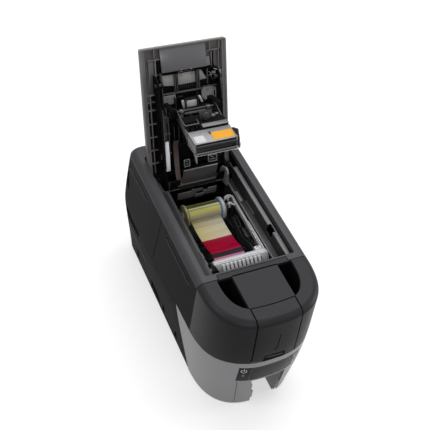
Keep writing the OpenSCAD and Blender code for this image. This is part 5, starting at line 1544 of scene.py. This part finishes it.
@dataclass(frozen=True)
class Bay:
    """The walls and ledges of the print bay under the open cover."""

    front: float = 11.0
    back: float = 204.9
    floor: float = 118.0
    ledge: float = 205.0
    shelf: float = 180.0
    half: float = 72.5
    left: float = -56.0
    left_step: float = 184.0
    left_back: float = -63.0
    right: float = 63.0
    right_low: float = 53.0
    skin: float = 2.0
    ear: float = 7.0
    cart_shelf: float = 160.7
    latch_mouth: Curve = ((64, 186), (80.5, 188.5), (76.5, 207), (60.5, 207))

    def build(self) -> None:
        """Adds every piece of the bay."""
        self._left()
        self._right()
        self._ledges()
        self._trim()
        self._rear_steps()

    def _ear(self, x0: float, x1: float) -> Form:
        """A rounded lug round the hinge pin."""
        y, z = HINGE
        outline = [(self.back - 1.5, z - self.ear), *arc(y, z, self.ear, -90, 90, 16),
            (self.back - 1.5, z + self.ear)]
        return slab(outline, x0, x1)

    def _left(self) -> None:
        """The left wall with its ledge, its step at the rear and the hinge lug."""
        wall = box(-self.half, self.front, self.ledge - self.skin, self.left, self.left_step, self.ledge)
        wall.join(box(-self.half, self.left_step - 1, self.ledge - self.skin, self.left_back, self.back,
            self.ledge), box(self.left - self.skin, self.front, self.floor, self.left, self.left_step,
            self.ledge), box(self.left_back - self.skin, self.left_step, self.floor, self.left,
            self.left_step + self.skin, self.ledge), box(self.left_back - self.skin, self.left_step, 150.0,
            self.left_back, self.back, self.ledge), self._ear(self.left_back - self.skin, self.left_back),
            box(self.left - 1, 96, self.cart_shelf - self.skin, -42.5, 116, self.cart_shelf))
        wall.cut(turned([(self.left_back - 4, 3.1), (self.left_back + 3, 3.1)], *HINGE),
            slab([(60, 188), (75, 187), (79, 202), (64, 203)], self.left - 5, self.left + 3))
        for y, z in ((165, 136.9), (58, 126.3)):
            wall.cut(turned([(self.left - 6, 3.4), (self.left + 4, 3.4)], y, z))
        wall.piece("left_bay_wall", Look.LINER, Body.BASE, "liner_black", 0.4, "left_liner")

    def _right(self) -> None:
        """The right wall with its ledge, the dark latch opening, the shelf and the low wall."""
        wall = box(self.right, self.front, self.ledge - self.skin, self.half, self.back, self.ledge)
        wall.join(box(self.right, self.front, self.shelf - self.skin, self.right + self.skin, self.back,
            self.ledge), box(self.right_low, self.front, self.shelf - self.skin, self.right + self.skin,
            self.back, self.shelf), box(self.right_low, self.front, self.floor, self.right_low + self.skin,
            204, self.shelf), self._ear(self.right, self.right + self.skin),
            box(43, 96, self.cart_shelf - self.skin, self.right_low + 1, 116, self.cart_shelf))
        wall.cut(turned([(self.right - 3, 3.1), (self.right + 4, 3.1)], *HINGE),
            slab(self.latch_mouth, self.right - 3, self.right + 3.6))
        wall.piece("right_bay_wall", Look.LINER, Body.BASE, "liner_black", 0.4, "right_liner")

    def _ledges(self) -> None:
        """Smooth skins on the two ledges, with a raised lip beside the wall."""
        low, high = self.ledge - 0.1, self.ledge + 0.3
        left = [(-70.2, 11.3), (-60.0, 11.3), (-60.0, 36), (-58.4, 38), (-58.4, 58), (-60.2, 60),
            (-60.2, 182), (-66, 186), (-66, 203), (-70.2, 203)]
        slab(left, low, high, "z").piece("left_ledge_skin", Look.NOSE, Body.BASE, "deck_black", 0.2)
        # The right ledge and its raised lip are lighter grey than the left ledge: a painted highlight.
        right = boxes((62.2, 11.3, low, 68.4, 203, high), (61.4, 11.3, low - 2, 62.8, 203, high + 0.3))
        right.cut(slab(self.latch_mouth, self.right - 3, self.right + 3.6))
        right.piece("right_ledge_skin", Look.LEDGE_AND_HIGHLIGHT, Body.BASE, "deck_black", 0.3)
        # A near-black strip on the ledge beside the deck's wall: painted shade in the corner.
        box(68.9, 11.3, self.ledge - 0.1, 70.4, 203, self.ledge + 0.12).piece("ledge_groove", Look.INNER_AND_SHADE,
            Body.BASE, "liner_black", 0.0)

    def _trim(self) -> None:
        """Pale beads along edges as painted highlights, the stepped stop at the left and the guide ribs down
        both walls.
        """
        # Pale strips along the shelf's edge and the right wall: painted highlights.
        boxes((52.6, 11.3, self.shelf - 1.2, 54.4, 203, self.shelf + 0.3), (62.5, 120, 180, 63.2, 150, 184),
            (53.4, 150, 180, 58, 172, 184)).piece("bay_beads", Look.LID, Body.BASE, "liner_black", 0.2)
        boxes((-58.2, 48, 193, -54.6, 58, 204.2), (-57.0, 38.5, 188, -52.4, 47.6, 199.5),
            (-56.0, 128, 178, -53.8, 141, 184), (-56.0, 132, 172, -52.8, 137, 178)).piece("left_stop",
            Look.GUARD_AND_HIGHLIGHT, Body.BASE, "liner_black", 0.5)
        rib = slab([(0, 0), (0, 42), (1.2, 42), (1.2, 0)], 0, 1.2)
        ribs = Copies(rib, Look.LINER).laid((51.9, 24, 134), (0, 22, 0), 8)
        ribs.add(Copies(rib, Look.LINER).laid((-56.0, 24, 134), (0, 22, 0), 7))
        ribs.piece("bay_wall_ribs", Look.LINER, Body.BASE, "liner_black", 0.2)

    def _rear_steps(self) -> None:
        """Stepped plates at the rear of the bay, with a thin pale strip on each edge as a painted highlight.
        """
        boxes((-26, 210.5, 148, -2, 212, 163), (-2, 211, 148, 2, 213, 165.5),
            (2.6, 209, 148, 18.8, 210.2, 155), (2.6, 213, 148, 18.8, 214.2, 162),
            (26, 210.5, 148, 42, 212, 162.5), (18.8, 211, 148, 26, 213, 158)).piece("rear_steps", Look.LID,
            Body.BASE, "liner_black", 0.3)
        # Pale strips on the plates' top edges: painted highlights.
        boxes((-26, 210.2, 162.4, -2.2, 211.0, 163.4), (26, 210.2, 161.9, 41, 211.0, 162.9),
            (3.0, 208.7, 154.4, 18.4, 209.5, 155.4),
            (3.0, 212.7, 161.4, 18.4, 213.4, 162.3)).piece("rear_step_edges", Look.POCKET_AND_HIGHLIGHT, Body.BASE,
            "liner_black", 0.15)


@dataclass(frozen=True)
class Cartridge:
    """The ribbon cartridge: its frame, the two spools and the film between them."""

    supply: Pair = (165.0, 160.6)
    shift: float = 3.0
    takeup: Pair = (58.0, 150.0)
    roll: float = 15.0
    core: float = 6.9
    ribbon: float = 27.0
    film: float = 25.2
    flange: float = 18.4
    rail: Pair = (46.8, 51.9)
    rail_z: Pair = (169.0, 176.2)
    grip: Pair = (-37.0, 52.0)
    ridges: int = 10
    ridge_step: float = 6.5

    def build(self) -> None:
        """Adds every piece of the cartridge."""
        self._grip()
        self._rail()
        self._links()
        self._supply()
        self._takeup()
        self._film()

    @staticmethod
    def _grip_outline(grow: float) -> Outline:
        """Side view of the grip bar, drawn in by a distance."""
        points = [(36.6, 168.6), (40.0, 166.2), (53.6, 166.2), (55.8, 169.6), (55.8, 179.6), (53.8, 181.4),
            (50.6, 182.0), (46.8, 181.9), (37.4, 173.2)]
        middle = (46.5, 173.5)
        return [(middle[0] + (y - middle[0]) * (1 - grow),
            middle[1] + (z - middle[1]) * (1 - grow)) for y, z in points]

    def _grip(self) -> None:
        """The grip bar with rounded ends and ten ribs on its slanted front."""
        x0, x1 = self.grip
        stations = [(x0, 0.12), (x0 + 1.2, 0.03), (x0 + 4, 0.0), (x1 - 7, 0.0), (x1 - 3, 0.03),
            (x1 - 1.0, 0.14), (x1, 0.3)]
        bar = Form().loft([[(x, y, z) for y, z in self._grip_outline(grow)] for x, grow in stations])
        bar.cut(slab([(x0 - 1, 165), (x0 + 12, 165), (x0 + 1.5, 180.2), (x0 - 1, 180.6)], 30, 47, "y"),
            slab([(47.4, 181.1), (49.0, 181.5), (48.6, 183), (47.0, 183)], x0 + 3, x1 - 4))
        bar.piece("grip_bar", Look.CARTRIDGE, Body.CARTRIDGE, "cartridge_grey", 1.1, "cartridge_frame",
            smooth=50)
        start = x0 + 11
        gap = [(36.0, 168.4), (36.7, 173.5), (42.6, 179.0), (43.2, 178.4), (38.0, 172.9), (37.4, 168.0)]
        slab(gap, start, start + self.ridges * self.ridge_step).piece("grip_shadow", Look.LIP_SHADE_AND_HIGHLIGHT,
            Body.CARTRIDGE, "cartridge_grey", 0.1)
        ridge = slab([(35.9, 167.2), (35.1, 169.0), (35.7, 173.8), (42.6, 180.2), (45.4, 181.0),
            (45.0, 178.0), (39.0, 168.0)], 0, 4.3)
        Copies(ridge, Look.CARTRIDGE).laid((start + 0.7, 0, 0), (self.ridge_step, 0, 0),
            self.ridges).piece("grip_ridges", Look.CARTRIDGE, Body.CARTRIDGE, "cartridge_grey", 0.6,
            smooth=50)

    def _rail(self) -> None:
        """The right rail with its bright top and ribbed side, the grip's block and the side panels."""
        x0, x1 = self.rail
        low, high = self.rail_z
        slab([(57, low - 7), (72, low - 7), (78, low), (150, low), (168, low + 1), (172, low + 3),
            (172, high), (57, high)], x0 + 0.4, x1 - 0.2).piece("rail_body", Look.RAIL, Body.CARTRIDGE,
            "cartridge_grey", 0.4)
        rib = box(0, 0, 0, 0.9, 1.5, high - low - 0.8)
        Copies(rib, Look.FLANGE).laid((x0 - 0.3, 66, low + 0.4), (0, 4.1, 0), 24).piece("rail_ribs",
            Look.FLANGE, Body.CARTRIDGE, "cartridge_grey", 0.25)
        top = boxes((x0 + 0.9, 112, high - 0.6, x0 + 2.3, 171, high + 1.2),
            (x0 + 2.9, 57, high - 0.6, x0 + 4.7, 113, high + 1.4))
        for y in (79, 96, 124, 140, 155):
            top.boxes((x0 + 0.3, y, high - 1.2, x0 + 2.2, y + 3.2, high + 0.6))
        top.piece("rail_top", Look.CARTRIDGE, Body.CARTRIDGE, "cartridge_grey", 0.35)
        block = slab(rounded((56, 172.5), (63.5, 179.2), 1.2), 36, 46.5)
        block.cut(box(39.5, 57.5, 177.6, 43.5, 62.0, 181))
        block.piece("grip_block", Look.CARTRIDGE, Body.CARTRIDGE, "cartridge_grey", 0.6)
        web = [(64, 150), (150, 146), (152, 156), (140, 163), (122, 160), (104, 158), (90, 163), (78, 168.5),
            (64, 168.5)]
        panels = slab(web, 44.9, 46.3).slab(moved(web, 2, -5), 41.0, 42.2)
        for y in (84, 102, 120, 138):
            panels.boxes((41.2, y, 147, 46.0, y + 1.4, 160))
        panels.slab([(47.5, 142), (68.5, 142), (64, 166.5), (47.5, 166.5)], 44.9, 47.8)
        panels.slab([(154, 150), (176, 150), (172, 170), (158, 170)], 44.9, 47.8)
        panels.slab([(47.5, 142), (68.5, 142), (64, 166), (47.5, 168)], -50, -45.4)
        panels.slab([(154, 152), (176, 152), (172, 168), (158, 168)], -50, -45.4)
        panels.boxes((-50, 62, 154, -46, 160, 160))
        for y, z in (self.supply, self.takeup):
            panels.cut(turned([(-52, 3.3), (52, 3.3)], y, z))
        panels.piece("cartridge_panels", Look.LINER, Body.CARTRIDGE, "cartridge_grey", 0.3)

    def _links(self) -> None:
        """The hooked links that hold the supply spool's right end."""
        links = Form().tube([(36.6, 171, 169), (38.6, 174, 173.4), (42.5, 174.6, 176), (48.2, 171.4, 176.4)],
            1.5, 12)
        links.slab([(166.5, 170), (173.5, 170), (172, 176.5), (168.5, 177.2)], 40.2, 43.6)
        links.slab([(156.5, 166), (163.8, 169.5), (162.4, 174.2), (158.2, 173.4)], 38.4, 42.4)
        links.tube([(41.5, 160.4, 172), (44.8, 157.0, 172.6), (48.0, 153.5, 173.2)], 1.6, 12)
        for x, y, z in ((38.6, 172.6, 172.4), (42.6, 160.0, 172.6), (46.2, 171.4, 175.8)):
            links.add(turned([(x - 1.8, 1.6), (x - 1.2, 2.5), (x + 1.2, 2.5), (x + 1.8, 1.6)], y, z, 20))
        links.piece("spool_links", Look.FLANGE, Body.CARTRIDGE, "cartridge_grey", 0.3, smooth=60)

    def _wheel(self, profile: Sequence[Point], steps: int = 72) -> Form:
        """A part of the supply spool, turned about its axis."""
        return turned([(x - self.shift, r) for x, r in profile], *self.supply, steps)

    def _supply(self) -> None:
        """The supply spool: core, both flanges, the blue ring and the wound ribbon."""
        r = self.flange
        self._wheel([(28.4, r - 1.6), (28.9, r - 0.4), (30.2, r), (32.6, r), (34.0, r - 0.8),
            (34.8, r - 2.6), (34.2, r - 4.4), (34.2, 9.5), (36.4, 8.4),
            (38.0, 8.0)]).piece("supply_flange_right", Look.FLANGE, Body.SUPPLY, "cartridge_grey", 0.25,
            "supply_spool")
        self._wheel([(27.05, 14.0), (27.1, 16.2), (27.9, 16.8), (28.5, 16.2),
            (28.5, 12)]).piece("supply_ring", Look.RING, Body.SUPPLY, "cartridge_grey", 0.0)
        self._wheel([(-34.4, 6.8), (-33.2, 8.2), (-32.6, r - 4.4), (-32.0, r - 3.2), (-32.6, r - 2.2),
            (-31.8, r - 0.5), (-30.0, r), (-28.4, r - 0.6), (-27.9, r - 2)]).piece("supply_flange_left",
            Look.AMBER, Body.SUPPLY, "cartridge_grey", 0.2)
        self._wheel([(-36.0, 4.6), (-35.6, 6.6), (-34.5, 7.4), (-33.0, 8.6)], 48).piece("supply_hub",
            Look.RAIL, Body.SUPPLY, "cartridge_grey", 0.2)
        self._axle(self.supply, Body.SUPPLY, "supply")
        self._wheel([(-self.ribbon, self.roll - 0.5), (0.4 - self.ribbon, self.roll),
            (self.ribbon - 0.4, self.roll), (self.ribbon, self.roll - 0.5)], 96).piece("supply_ribbon",
            Look.RIBBON_AND_SHEEN, Body.SUPPLY, "ribbon", 0.0, "supply_roll")

    def _axle(self, place: Pair, body: Body, name: str) -> None:
        """A spool's dark axle with the gear at its left end."""
        y, z = place
        axle = turned([(-49.5, 2.4), (-49.1, 3.0), (47.3, 3.0), (47.7, 2.4)], y, z, 32)
        axle.add(turned([(-40.6, self.core), (40, self.core)], y, z, 40))
        axle.piece(f"{name}_axle", Look.GUARD_AND_HIGHLIGHT, body, "cartridge_grey", 0.2)
        teeth = 24
        outline = []
        for i in range(teeth):
            for share, radius in ((0.0, 9.9), (0.2, 12.1), (0.45, 12.1), (0.65, 9.9)):
                turn = 2 * math.pi * (i + share) / teeth
                outline.append((y + radius * math.cos(turn), z + radius * math.sin(turn)))
        slab(outline, -43.6, -40.2).piece(f"{name}_gear", Look.LINER, body, "cartridge_grey", 0.15)

    def _takeup(self) -> None:
        """The take-up spool with the used ribbon wound on it."""
        turned([(-self.ribbon, 10.5), (0.4 - self.ribbon, 11), (self.ribbon - 0.4, 11), (self.ribbon, 10.5)],
            *self.takeup, 64).piece("takeup_ribbon", Look.USED, Body.TAKEUP, "ribbon", 0.0, "takeup_spool")
        discs = Form()
        for side in (-1, 1):
            discs.add(turned(sorted([(side * 28.2, 12.6), (side * 29.0, 13.4), (side * 31.4, 13.4),
                (side * 32.2, 12.4)]), *self.takeup, 56))
        discs.piece("takeup_discs", Look.GUARD_AND_HIGHLIGHT, Body.TAKEUP, "cartridge_grey", 0.15)
        self._axle(self.takeup, Body.TAKEUP, "takeup")

    def _film(self) -> None:
        """The film from the supply roll, down over the bay and up under the grip bar."""
        levels = [(58, 161.2), (64, 163.0), (70, 164.8), (79, 165.0), (95, 159.4), (112, 156.2),
            (126, 156.6), (138, 158.4), (147, 161.0), (150.6, 163.4)]
        path = [(58 + i * 2.2, between(levels, 58 + i * 2.2)) for i in range(43)]
        across = 12
        film = Form()
        rings = []
        for y, z in path:
            row = []
            for k in range(across + 1):
                share = k / across
                dip = 0.5 * math.sin(math.pi * share) ** 2 * math.sin(math.pi * (y - 58) / 92)
                row.append((self.film * (2 * share - 1) - self.shift * max(0.0, y - 112) / 38, y, z - dip))
            rings.append(row + [(x, ry, rz - 0.15) for x, ry, rz in reversed(row)])
        film.loft(rings)
        made = film.piece("ribbon_sheet", Look.FILM, Body.CARTRIDGE, "film", 0.0, "ribbon_film", smooth=60)
        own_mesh(made)


KEPT_NODES = {
    Look.BRACKET: "output_bracket",
    Look.LINER: "front_liner card_hopper card_guide exit_chute",
    Look.INNER_AND_SHADE: "rear_liner",
    Look.RUBBER: "rubber_feet drive_belt",
    Look.STEEL: "base_screws rear_sockets hinge_pins",
    Look.BOARD: "display_board main_board",
    Look.PLATE: "chassis_left chassis_right",
    Look.MOTOR: "card_weight drive_motors",
    Look.ROLLER: "pick_roller feed_roller transport_roller platen_roller rear_roller exit_roller",
    Look.CLEANING: "cleaning_roller",
    Look.GEAR: "motor_pulley supply_drive_gear takeup_drive_gear",
    Look.HEAD_BAR: "latch_pin_left latch_pin_right head_shaft",
    Look.DARK_STEEL: "head_springs",
}


def dress() -> None:
    """Gives the nodes that are shown as they are their finishes."""
    for look, names in KEPT_NODES.items():
        for name in names.split():
            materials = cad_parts[name].data.materials
            materials.clear()
            materials.append(look.build())
            LOG.info("%s: node, %s", name, look.value.name)


def main() -> None:
    """Builds the scene in order."""
    logging.basicConfig(level=logging.INFO, format="%(message)s")
    studio = Studio()
    studio.camera()
    studio.lights()
    studio.floor()
    casing = Casing()
    casing.side_panels()
    casing.base_tray()
    casing.rear_panel()
    casing.top_deck()
    casing.front_cover()
    casing.hopper_door()
    casing.front_bezel()
    casing.display()
    casing.notch_post()
    Bay().build()
    Cartridge().build()
    Cover().build()
    Head().build()
    dress()


if __name__ == "__main__":
    main()
